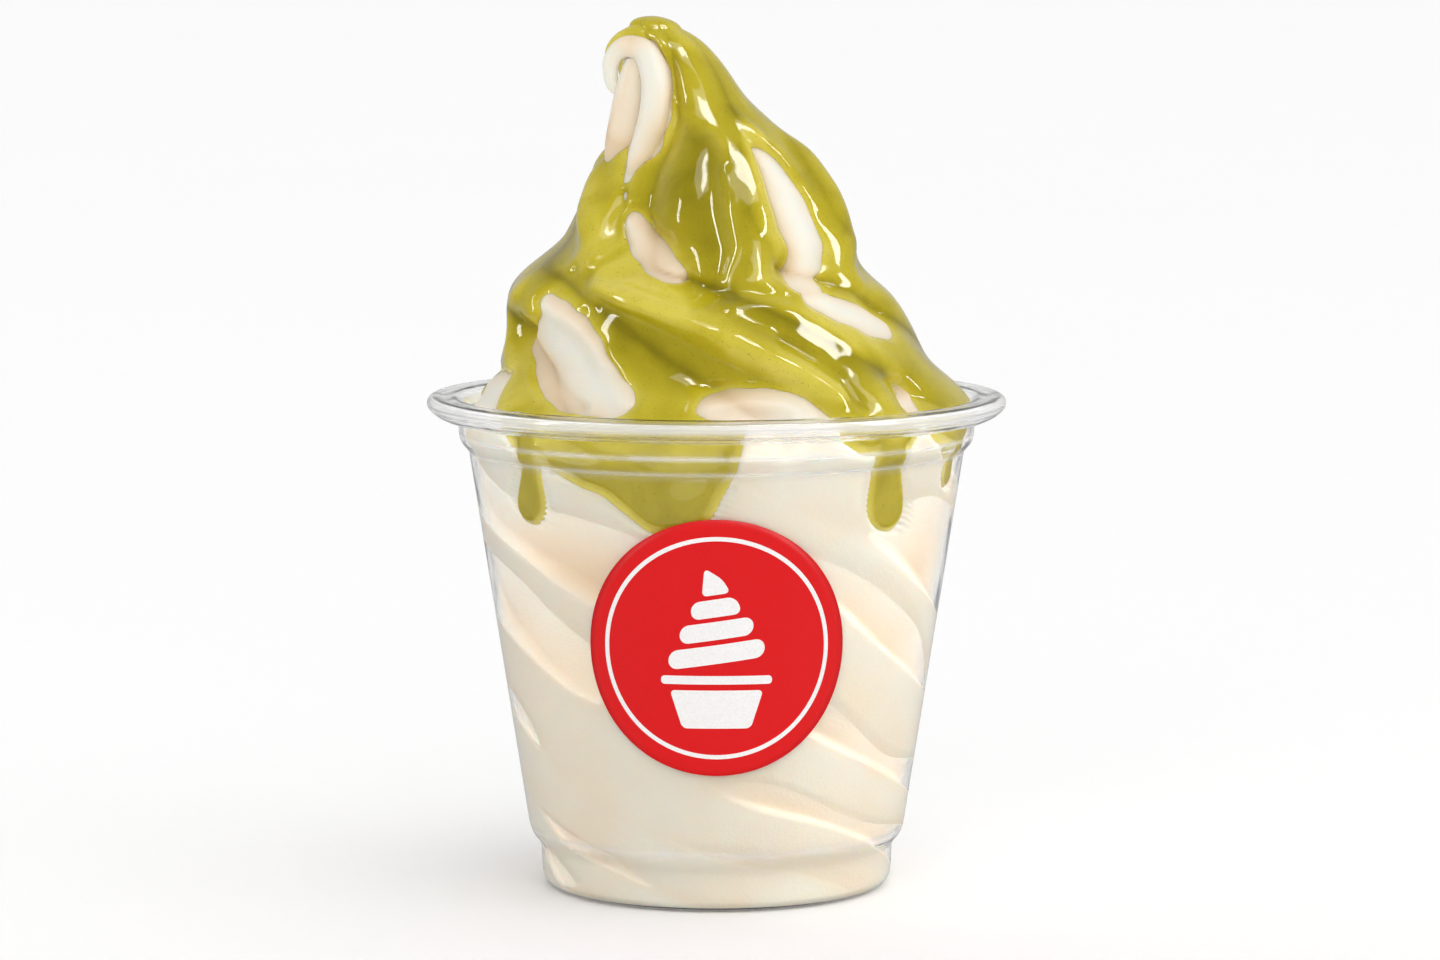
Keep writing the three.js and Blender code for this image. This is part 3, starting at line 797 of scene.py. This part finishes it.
def roughened(tree, shader, height, strength, distance):
    """Gives the shader's surface a relief, up to distance metres high."""
    inputs = {"Height": height, "Strength": strength, "Distance": distance}
    bump = add_node(tree, "ShaderNodeBump", inputs)
    tree.links.new(bump.outputs["Normal"], shader.inputs["Normal"])


def clear_thermoformed_plastic():
    """Thin PET, drawn hot into a mould: glass-clear and glossy, with the slightest waviness in its wall.

    PET's IOR is 1.57. It is lowered here, because a wall this thin throws little light over the food.
    """
    material, tree, shader, place = new_material("clear_thermoformed_plastic")
    shader.inputs["Base Color"].default_value = linear("#fefefe")
    shader.inputs["IOR"].default_value = 1.4
    # painted highlight: round its rim and steps the plastic is made faintly white in bands
    clear = worked_out(tree, "SUBTRACT", 1.0, stored(tree, "painted_highlight"), use_clamp=True)
    tree.links.new(clear, shader.inputs["Transmission Weight"])
    # light that runs a long way inside the plastic, as in the rim, comes out grey
    absorbed = add_node(
        tree, "ShaderNodeVolumeAbsorption", {"Color": linear("#c6c4c2"), "Density": 75.0}
    )
    tree.links.new(absorbed.outputs["Volume"], tree.nodes["Material Output"].inputs["Volume"])
    # fine scuffs are about 0.6 mm long, and the wall wanders over about 9 mm
    scuffs = noise(tree, place, 1600.0, 2.0)
    tree.links.new(in_range(tree, scuffs, 0.3, 0.75, 0.015, 0.06), shader.inputs["Roughness"])
    roughened(tree, shader, noise(tree, place, 110.0, 1.0), 0.12, 0.0006)
    return material


def vanilla_soft_serve():
    """Aerated frozen cream: satin, pale and warm, lit from within, with ice grain too fine to see singly."""
    material, tree, shader, place = new_material("vanilla_soft_serve")
    # the cream is a little yellower in patches of about 15 mm, and darker with painted shade in its folds
    patches = noise(tree, place, 65.0, 2.0)
    tone_and_painted_shade = worked_out(tree, "MULTIPLY_ADD", patches, 0.3, stored(tree, "painted_shade_and_stain"))
    colour = add_node(
        tree, "ShaderNodeValToRGB", {"Fac": tone_and_painted_shade},
        stops=[(0.12, linear("#fdf6ec")), (0.5, linear("#f4e2c8")), (1.0, linear("#dabd92"))],
    )
    tree.links.new(colour.outputs["Color"], shader.inputs["Base Color"])
    tree.links.new(in_range(tree, patches, 0.3, 0.7, 0.42, 0.56), shader.inputs["Roughness"])
    # ice crystals and air cells are under 0.1 mm, drawn here at about 0.5 mm so that they show
    roughened(tree, shader, noise(tree, place, 2000.0, 3.0), 0.18, 0.0004)
    shader.inputs["IOR"].default_value = 1.4
    shader.inputs["Subsurface Weight"].default_value = 1.0
    shader.inputs["Subsurface Radius"].default_value = (1.0, 0.8, 0.62)
    shader.inputs["Subsurface Scale"].default_value = 0.0011
    return material


def glossy_pistachio_sauce():
    """A thick, wet, glossy nut-cream sauce: yellow where thin, olive in pools, with painted highlight and
    shade.
    """
    material, tree, shader, place = new_material("glossy_pistachio_sauce")
    # streaks of richer sauce, about 8 mm across
    streaks = noise(tree, place, 120.0, 3.0, 0.6)
    # the stored value is the sauce's thickness with painted highlight on its folds and painted shade in its
    # creases
    depth = worked_out(tree, "MULTIPLY_ADD", streaks, 0.55, stored(tree, "olive_and_painted_light"))
    colour = add_node(
        tree, "ShaderNodeValToRGB", {"Fac": depth},
        stops=[
            (0.25, linear("#dfd056")),
            (0.5, linear("#c8b82c")),
            (0.75, linear("#ae9f18")),
            (1.0, linear("#8f820a")),
        ],
    )
    # ground nut, about 0.4 mm across and sparse
    specks = in_range(tree, noise(tree, place, 2600.0, 1.0), 0.66, 0.74, 0.0, 0.45)
    speckled = between_colours(tree, specks, colour.outputs["Color"], linear("#82780c"))
    tree.links.new(speckled, shader.inputs["Base Color"])
    # the skin of the sauce is broken by low ripples, about 2 mm apart
    roughened(tree, shader, noise(tree, place, 480.0, 2.0), 0.02, 0.0005)
    shader.inputs["Roughness"].default_value = 0.07
    shader.inputs["IOR"].default_value = 1.46
    shader.inputs["Subsurface Weight"].default_value = 0.5
    shader.inputs["Subsurface Radius"].default_value = (1.0, 0.8, 0.12)
    shader.inputs["Subsurface Scale"].default_value = 0.001
    return material


def darkened(colour, share):
    """A colour with its red, green and blue turned down to a share."""
    return (*(share * c for c in colour[:3]), 1.0)


def red_coated_paper(colour):
    """A printed paper sticker: an even, slightly glossy red over paper fibres."""
    material, tree, shader, place = new_material("red_coated_paper")
    # paper fibres are about 0.5 mm apart
    fibres = noise(tree, place, 2000.0, 2.0)
    mottled = between_colours(tree, fibres, colour, darkened(colour, 0.9))
    tree.links.new(mottled, shader.inputs["Base Color"])
    roughened(tree, shader, fibres, 0.06, 0.0002)
    shader.inputs["Roughness"].default_value = 0.45
    shader.inputs["Specular IOR Level"].default_value = 0.25
    return material


def white_print():
    """White ink printed on the sticker: flat and bright, with a little of the paper's tooth."""
    material, tree, shader, place = new_material("white_print")
    # the ink's tooth is about 0.4 mm
    tooth = noise(tree, place, 2500.0, 1.0)
    colour = add_node(
        tree, "ShaderNodeValToRGB", {"Fac": tooth},
        stops=[(0.3, linear("#f4f2f0")), (0.7, linear("#fdfcfb"))],
    )
    tree.links.new(colour.outputs["Color"], shader.inputs["Base Color"])
    shader.inputs["Roughness"].default_value = 0.4
    return material


def pale_paper_floor(colour):
    """Matte white paper under studio light, so bright that it all but fades into the backdrop."""
    material, tree, shader, place = new_material("pale_paper_floor")
    # the paper's tone drifts over about 30 cm
    drift = noise(tree, place, 3.0, 1.0)
    tone = between_colours(tree, drift, colour, darkened(colour, 0.99))
    tree.links.new(tone, shader.inputs["Base Color"])
    shader.inputs["Roughness"].default_value = 0.85
    # a faint light of its own lifts it the rest of the way to white
    shader.inputs["Emission Color"].default_value = (1, 1, 1, 1)
    shader.inputs["Emission Strength"].default_value = 0.045
    return material


# ---------- settings ----------


class CupSettings(bpy.types.PropertyGroup):
    """Sizes of the clear cup."""

    wall: bpy.props.FloatProperty(
        name="Wall", description="Thickness of the plastic", default=WALL * MM, min=0.0002, max=0.002,
        subtype="DISTANCE", unit="LENGTH", precision=5,
    )
    steps: bpy.props.IntProperty(
        name="Steps", description="Faces round the cup", default=256, min=32, max=512
    )


class FoodSettings(bpy.types.PropertyGroup):
    """Sizes of the soft serve and of the sauce."""

    columns: bpy.props.IntProperty(
        name="Columns", description="Faces round the food", default=390, min=64, max=720
    )
    sauce_thickness: bpy.props.FloatProperty(
        name="Sauce thickness", description="Thickness of the sauce where it lies evenly",
        default=1.5 * MM, min=0.0005, max=0.004, subtype="DISTANCE", unit="LENGTH", precision=5,
    )
    ripple: bpy.props.FloatProperty(
        name="Ripple", description="Height of the low ripples in the sauce", default=0.02 * MM, min=0.0,
        max=0.001, subtype="DISTANCE", unit="LENGTH", precision=5,
    )


class LabelSettings(bpy.types.PropertyGroup):
    """Size, place and colour of the round label."""

    radius: bpy.props.FloatProperty(
        name="Radius", description="Radius of the label", default=21.1 * MM, min=0.005, max=0.025,
        subtype="DISTANCE", unit="LENGTH", precision=5,
    )
    height: bpy.props.FloatProperty(
        name="Height", description="Height of the label's middle above the floor", default=43.8 * MM,
        min=0.03, max=0.05, subtype="DISTANCE", unit="LENGTH", precision=5,
    )
    colour: bpy.props.FloatVectorProperty(
        name="Colour", description="Colour of the printed paper", default=linear("#e7040b"), size=4,
        min=0.0, max=1.0, subtype="COLOR",
    )


class StageSettings(bpy.types.PropertyGroup):
    """Colour of the floor and strength of the lights."""

    floor_colour: bpy.props.FloatVectorProperty(
        name="Floor", description="Colour of the floor", default=linear("#fdfdfd"), size=4, min=0.0,
        max=1.0, subtype="COLOR",
    )
    backdrop: bpy.props.FloatProperty(
        name="Backdrop", description="Brightness of the white backdrop", default=1.0, min=0.0, max=3.0
    )
    room: bpy.props.FloatProperty(
        name="Room", description="Brightness of the room in front of the backdrop", default=0.48, min=0.0,
        max=3.0,
    )
    sun: bpy.props.FloatProperty(
        name="Key", description="Strength of the soft key light, in watts per square metre", default=1.0,
        min=0.0, max=10.0,
    )
    fill: bpy.props.FloatProperty(
        name="Fill", description="Strength of the soft front light, in watts per square metre", default=0.68,
        min=0.0, max=10.0,
    )


# ---------- stage ----------

# The suns light the scene, as place and angle across in degrees.
SUNS = {"key": ((0.45, -0.35, 1.1), 70), "fill": ((-0.1, -1.0, 0.35), 60)}
# The boxes are what the sauce and the plastic mirror, as place, watts, and width and length in metres.
BOXES = {
    "right_box": ((0.82, -0.3, 0.5), 6.0, (0.17, 0.62)),
    "left_box": ((-0.9, -0.3, 0.4), 3.6, (0.13, 0.62)),
    "top_box": ((0.3, -0.3, 0.95), 2.4, (0.4, 0.13)),
    "top_sheet": ((0.2, -0.34, 1.0), 2.5, (0.7, 0.4)),
}
LIGHTS_AIM = (0, 0, 0.08)

FLOOR_RADIUS, FLOOR_DROP = 14.0, 0.0002

# The camera's place and what it looks at, in metres, and its lens and sensor in millimetres.
CAMERA_PLACE = (0, -0.80916, 0.15769)
CAMERA_AIM = (0.00057, 0, 0.06644)
LENS, SENSOR = 124.05, 36.0


# ---------- operators ----------


class DESSERT_OT_stage(bpy.types.Operator):
    """Lay the pale floor and set the soft studio light and the camera"""

    bl_idname = "dessert.stage"
    bl_label = "Stage"
    bl_options = {"REGISTER", "UNDO"}

    def execute(self, context):
        scene, settings = context.scene, context.scene.dessert_stage
        bm = bmesh.new()
        bmesh.ops.create_circle(bm, cap_ends=True, segments=96, radius=FLOOR_RADIUS)
        bmesh.ops.translate(bm, vec=(0, 0, -FLOOR_DROP), verts=bm.verts)
        floor = finished("floor", bm)
        floor.data.materials.append(pale_paper_floor(settings.floor_colour))
        # the bright floor would lie as a haze over all that stands behind the plastic
        floor.visible_glossy = False

        scene.world = self.backdrop_and_room(settings)
        scene.view_settings.view_transform = "Standard"

        for name, power in (("key", settings.sun), ("fill", settings.fill)):
            place, across = SUNS[name]
            lamp = self.light(context, name, "SUN", place, power)
            lamp.data.angle = math.radians(across)
            lamp.visible_glossy = False
        for name, (place, power, size) in BOXES.items():
            lamp = self.light(context, name, "AREA", place, power)
            lamp.data.shape = "RECTANGLE"
            lamp.data.size, lamp.data.size_y = size
            lamp.visible_diffuse = False

        camera = bpy.data.objects.new("camera", bpy.data.cameras.new("camera"))
        camera.data.lens = LENS
        camera.data.sensor_width = SENSOR
        camera.data.clip_end = 60.0
        camera.location = CAMERA_PLACE
        look = Vector(CAMERA_AIM) - camera.location
        camera.rotation_euler = look.to_track_quat("-Z", "Y").to_euler()
        context.collection.objects.link(camera)
        scene.camera = camera
        return {"FINISHED"}

    @staticmethod
    def backdrop_and_room(settings):
        """A world with a bright backdrop behind the cup and a dimmer room everywhere else."""
        world = bpy.data.worlds.new("backdrop_and_room")
        world.use_nodes = True
        tree = world.node_tree
        direction = add_node(tree, "ShaderNodeTexCoord").outputs["Generated"]
        across = add_node(tree, "ShaderNodeSeparateXYZ", {"Vector": direction}).outputs["Y"]
        bright = in_range(tree, across, -0.1, 0.7, settings.room, settings.backdrop)
        # it is seen as plain white, and mirrored at half its brightness, as if behind the camera's flags
        rays = add_node(tree, "ShaderNodeLightPath").outputs
        mirrored = worked_out(tree, "MULTIPLY", rays["Is Glossy Ray"], rays["Is Reflection Ray"])
        kept = worked_out(tree, "MULTIPLY_ADD", mirrored, -0.5, 1.0)
        dimmed = worked_out(tree, "MULTIPLY", bright, kept)
        seen = worked_out(tree, "MAXIMUM", dimmed, rays["Is Camera Ray"])
        background = tree.nodes["Background"]
        background.inputs["Color"].default_value = (1, 1, 1, 1)
        tree.links.new(seen, background.inputs["Strength"])
        return world

    @staticmethod
    def light(context, name, kind, place, power):
        """Hangs up a light that points at the cup."""
        data = bpy.data.lights.new(name, kind)
        data.energy = power
        lamp = bpy.data.objects.new(name, data)
        lamp.location = place
        aim = Vector(LIGHTS_AIM) - lamp.location
        lamp.rotation_euler = aim.to_track_quat("-Z", "Y").to_euler()
        context.collection.objects.link(lamp)
        return lamp


class DESSERT_OT_cup(bpy.types.Operator):
    """Build the clear cup, with its rolled rim, stepped neck and foot"""

    bl_idname = "dessert.cup"
    bl_label = "Cup"
    bl_options = {"REGISTER", "UNDO"}

    def execute(self, context):
        settings = context.scene.dessert_cup
        bm = bmesh.new()
        line = [bm.verts.new((r * MM, 0, z * MM)) for r, z in CUP_WALL_LINE]
        for pair in zip(line, line[1:]):
            bm.edges.new(pair)
        bmesh.ops.bevel(
            bm, geom=line[1:-1], offset=0.42 * MM, offset_type="OFFSET", segments=4, profile=0.5,
            affect="VERTICES", clamp_overlap=True, material=-1,
        )
        bmesh.ops.spin(
            bm, geom=bm.verts[:] + bm.edges[:], cent=(0, 0, 0), axis=(0, 0, 1), angle=2 * math.pi,
            steps=settings.steps, use_merge=True,
        )
        bmesh.ops.remove_doubles(bm, verts=bm.verts, dist=1e-7)
        bmesh.ops.recalc_face_normals(bm, faces=bm.faces)
        cup = finished("cup_shell", bm)
        wall = cup.modifiers.new("wall", "SOLIDIFY")
        wall.thickness = settings.wall
        wall.offset = 0.0
        wall.use_even_offset = True
        with_modifiers(cup)
        cup.data.shade_smooth()
        # white bands of painted highlight round the rim and the steps
        self.paint_highlight_bands(cup)
        cup.data.materials.clear()
        cup.data.materials.append(clear_thermoformed_plastic())
        cup.visible_shadow = False
        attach(cup, "root")
        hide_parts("cup")
        return {"FINISHED"}

    @staticmethod
    def paint_highlight_bands(cup):
        """Stores how white the painted highlight makes the plastic at each of the cup's vertices."""
        x, y, z = vertex_places(cup).T / MM
        radius = np.hypot(x, y)
        white = np.zeros(len(z))
        for height, half, least_radius, share in PAINTED_HIGHLIGHT_BENDS:
            band = share * np.exp(-(((z - height) / half) ** 2)) * (radius > least_radius)
            white = np.maximum(white, band)
        store(cup, "painted_highlight", white)


# The strands that the tip ends in, as (x, y, z) and radius: the outer one climbs the front, hooks over to
# the left and ends in its own curl, the inner one rises inside the hook, and the sauce lies over both.
OUTER_STRAND = [
    (-13.0, -10.6, 115.4, 0.5), (-12.9, -10.9, 117.0, 1.2), (-12.7, -11.0, 118.8, 1.7),
    (-11.6, -10.6, 121.5, 2.2), (-10.5, -10.1, 124.7, 2.4), (-9.9, -9.3, 127.9, 2.4),
    (-9.7, -8.2, 131, 2.4), (-10.3, -6.6, 134.4, 2.3), (-11.9, -5.0, 136.8, 2.05),
    (-14.2, -4.0, 137.5, 1.8), (-16.3, -3.6, 136.4, 1.5), (-17.2, -3.4, 134.2, 1.3),
    (-17.1, -3.2, 132, 1.15), (-16.1, -3.0, 130.4, 0.9), (-15.2, -2.8, 130.2, 0.5),
]
INNER_STRAND = [
    (-16.2, -5.2, 116.2, 0.7), (-16.4, -5.5, 118.6, 1.6), (-15.8, -5.5, 121.4, 2.3),
    (-14.9, -5.2, 125, 2.6), (-14.2, -4.8, 129, 2.5), (-13.6, -4.5, 132.6, 2.1), (-13.0, -4.0, 135.4, 1.5),
]
TIP_COAT = [
    (-7.0, -0.6, 132, 4.4), (-8.4, -0.9, 135.4, 4.2), (-10.4, -1.4, 137.4, 3.7), (-12.6, -1.9, 138.2, 3.0),
    (-14.8, -2.2, 137.9, 2.2), (-16.7, -2.4, 136.6, 1.4), (-17.6, -2.4, 134.9, 0.6),
]


class DESSERT_OT_soft_serve(bpy.types.Operator):
    """Build the twisted peak of soft serve with its curled tip"""

    bl_idname = "dessert.soft_serve"
    bl_label = "Soft serve"
    bl_options = {"REGISTER", "UNDO"}

    def execute(self, context):
        settings = context.scene.dessert_food
        grid = food_grid(settings.sauce_thickness / MM, settings.ripple / MM)
        heights = rows_up((CREAM_FLOOR, 70, 0.9), (70, CAP_HEIGHT, 0.48))
        heights += cap_rows(CAP_HEIGHT, CREAM_TOP, 8)
        # inside the cup the columns follow the twist, so that the folds run along them
        cream = food_body(
            "soft_serve_peak", heights, settings.columns,
            lambda angle, height: on_grid(grid, "cream", angle, height),
            CAP_HEIGHT, CREAM_TOP, [(0, 2.35), (20.4, 2.35), (23.6, CREAM_FLOOR)],
            skew=lambda height: twist(np.minimum(height, 70)) - twist(70),
        )
        cut_or_join(cream, rope("outer_strand", OUTER_STRAND), "UNION")
        cut_or_join(cream, rope("inner_strand", INNER_STRAND), "UNION")
        # stores the cream's painted shade, with the thin stain of sauce beside the sauce's edges
        paint_from_grid(cream, grid, "painted_shade_and_stain")
        cream.data.materials.clear()
        cream.data.materials.append(vanilla_soft_serve())
        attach(cream, "root")
        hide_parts("soft_serve")
        return {"FINISHED"}


# The core that hollows out the sauce stays this far inside the cream, so that the two overlap.
CORE_DEPTH = 1.3
CORE_FLOOR, CORE_SHOULDER, CORE_TOP = 55.0, 139.4, 139.9


class DESSERT_OT_pistachio_sauce(bpy.types.Operator):
    """Build the pistachio sauce that coats the peak and drips inside the cup"""

    bl_idname = "dessert.pistachio_sauce"
    bl_label = "Pistachio sauce"
    bl_options = {"REGISTER", "UNDO"}

    def execute(self, context):
        settings = context.scene.dessert_food
        grid = food_grid(settings.sauce_thickness / MM, settings.ripple / MM)
        heights = rows_up((SAUCE_FLOOR, SAUCE_CAP, 0.45))
        heights += cap_rows(SAUCE_CAP, SAUCE_TOP, 8)
        sauce = food_body(
            "pistachio_sauce_coat", heights, settings.columns,
            lambda angle, height: on_grid(grid, "sauce", angle, height),
            SAUCE_CAP, SAUCE_TOP, [(0, SAUCE_FLOOR)],
        )
        cut_or_join(sauce, rope("tip_coat", TIP_COAT), "UNION")

        def inside_cream(angle, height):
            """A radius well inside the cream, whichever way it slopes."""
            near = ((0, 0), (0, 1), (1.5, 0))
            cream = [on_grid(grid, "cream", angle + a, height + z) for a, z in near]
            return np.min(cream, axis=0) - CORE_DEPTH

        core = food_body(
            "core", rows_up((CORE_FLOOR, 138.6, 1.4)) + [CORE_SHOULDER], 120, inside_cream,
            CORE_SHOULDER, CORE_TOP, [(0, CORE_FLOOR)],
        )
        cut_or_join(sauce, core, "DIFFERENCE")
        self.largest_part(sauce)
        # stores how olive the sauce is, with painted highlight on its folds and painted shade in its creases
        paint_from_grid(sauce, grid, "olive_and_painted_light")
        sauce.data.shade_smooth()
        sauce.data.materials.clear()
        sauce.data.materials.append(glossy_pistachio_sauce())
        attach(sauce, "root")
        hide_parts("pistachio_sauce")
        return {"FINISHED"}

    @staticmethod
    def largest_part(piece):
        """Keeps the largest of the piece's separate bodies."""
        bm = bmesh.new()
        bm.from_mesh(piece.data)
        bm.verts.ensure_lookup_table()
        left, bodies = set(bm.verts), []
        while left:
            body, edge_of_body = set(), [left.pop()]
            while edge_of_body:
                vert = edge_of_body.pop()
                body.add(vert)
                for edge in vert.link_edges:
                    other = edge.other_vert(vert)
                    if other in left:
                        left.discard(other)
                        edge_of_body.append(other)
            bodies.append(body)
        bodies.sort(key=len)
        scraps = [vert for body in bodies[:-1] for vert in body]
        bmesh.ops.delete(bm, geom=scraps, context="VERTS")
        bm.to_mesh(piece.data)
        bm.free()


def round_the_cup(height):
    """A function that bends flat places, as across, up and out, round the sloping wall at a height."""
    slope = (SHOULDER_RADIUS - LEDGE_RADIUS) / (SHOULDER_HEIGHT - LEDGE_HEIGHT)
    up_the_wall = math.cos(math.atan(slope))

    def place(co):
        across, up, out = co.T
        z = height + up * up_the_wall
        wall = (LEDGE_RADIUS + slope * (z / MM - LEDGE_HEIGHT)) * MM
        turn = across / wall
        radius = wall + out
        return np.stack([radius * np.sin(turn), -radius * np.cos(turn), z], axis=1)

    return place


class DESSERT_OT_label(bpy.types.Operator):
    """Build the round red label and its plain printed motif"""

    bl_idname = "dessert.label"
    bl_label = "Label"
    bl_options = {"REGISTER", "UNDO"}

    # Flat shapes of the motif, a swirl of ice cream over a small cup, as corners in millimetres and how
    # far the corners are rounded.
    MOTIF = [
        ([(-7.6, -3.6), (7.6, -1.4), (7.6, 1.7), (-7.6, -0.5)], 1.5),
        ([(-5.8, 0.6), (5.8, 2.3), (5.8, 5.3), (-5.8, 3.6)], 1.45),
        ([(-4.0, 4.6), (4.1, 5.8), (3.0, 8.6), (-4.0, 7.5)], 1.35),
        ([(-2.3, 8.5), (2.2, 9.2), (0.9, 11.4), (-1.9, 13.2)], 0.9),
        ([(-8.8, -5.9), (8.8, -5.9), (8.8, -4.5), (-8.8, -4.5)], 0.6),
        ([(-5.4, -13.2), (5.4, -13.2), (7.4, -6.9), (-7.4, -6.9)], 0.8),
    ]
    RING = (17.6, 18.3)

    def execute(self, context):
        settings = context.scene.dessert_label
        radius = settings.radius
        profile = [(radius * share, 0.0) for share in np.linspace(0, 1, 16)]
        bm = turned(profile, 144)
        self.thicken(bm, -0.06 * MM, 0.14 * MM)
        paper = finished("label_paper_disc", bm)
        moved(paper, round_the_cup(settings.height))
        paper.data.materials.append(red_coated_paper(settings.colour))
        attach(paper, "root")
        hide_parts("label")

        bm = turned([(r * MM, 0.0) for r in np.linspace(*self.RING, 3)], 144)
        for corners, rounding in self.MOTIF:
            verts = [bm.verts.new((x * MM, y * MM, 0)) for x, y in corners]
            bm.faces.new(verts)
            bmesh.ops.bevel(
                bm, geom=verts, offset=rounding * MM, offset_type="OFFSET", segments=6, profile=0.5,
                affect="VERTICES", clamp_overlap=True, material=-1,
            )
        for cut in np.arange(-18, 18.1, 1.5):
            bmesh.ops.bisect_plane(
                bm, geom=bm.verts[:] + bm.edges[:] + bm.faces[:], dist=1e-7, plane_co=(cut * MM, 0, 0),
                plane_no=(1, 0, 0),
            )
        self.thicken(bm, 0.08 * MM, 0.17 * MM)
        ink = finished("label_print", bm)
        moved(ink, round_the_cup(settings.height))
        ink.data.shade_flat()
        ink.data.materials.append(white_print())
        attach(ink, "root")
        return {"FINISHED"}

    @staticmethod
    def thicken(bm, low, high):
        """Turns flat faces on z = 0 into a plate from low to high."""
        for face in bm.faces:
            if face.normal.z < 0:
                face.normal_flip()
        bottom = bm.faces[:]
        made = bmesh.ops.extrude_face_region(bm, geom=bottom, use_keep_orig=True)["geom"]
        top = {g for g in made if isinstance(g, bmesh.types.BMVert)}
        for vert in bm.verts:
            vert.co.z = high if vert in top else low
        bmesh.ops.recalc_face_normals(bm, faces=bm.faces)


class DESSERT_PT_panel(bpy.types.Panel):
    """Lists the pieces of the dessert"""

    bl_idname = "DESSERT_PT_panel"
    bl_label = "Soft Serve Cup"
    bl_space_type = "VIEW_3D"
    bl_region_type = "UI"
    bl_category = "Dessert"

    def draw(self, context):
        for operator in OPERATORS:
            self.layout.operator(operator.bl_idname)
        scene = context.scene
        for settings in (scene.dessert_cup, scene.dessert_food, scene.dessert_label, scene.dessert_stage):
            box = self.layout.box()
            for name in settings.bl_rna.properties.keys():
                if name not in {"rna_type", "name"}:
                    box.prop(settings, name)


SETTINGS = {
    "dessert_cup": CupSettings,
    "dessert_food": FoodSettings,
    "dessert_label": LabelSettings,
    "dessert_stage": StageSettings,
}
OPERATORS = [
    DESSERT_OT_stage,
    DESSERT_OT_cup,
    DESSERT_OT_soft_serve,
    DESSERT_OT_pistachio_sauce,
    DESSERT_OT_label,
]


def register():
    for cls in [*SETTINGS.values(), *OPERATORS, DESSERT_PT_panel]:
        bpy.utils.register_class(cls)
    for name, cls in SETTINGS.items():
        setattr(bpy.types.Scene, name, bpy.props.PointerProperty(type=cls))


def unregister():
    for name in SETTINGS:
        delattr(bpy.types.Scene, name)
    for cls in [DESSERT_PT_panel, *reversed(OPERATORS), *reversed(SETTINGS.values())]:
        bpy.utils.unregister_class(cls)


def main():
    register()
    bpy.ops.dessert.stage()
    bpy.ops.dessert.cup()
    bpy.ops.dessert.soft_serve()
    bpy.ops.dessert.pistachio_sauce()
    bpy.ops.dessert.label()


if __name__ == "__main__":
    main()
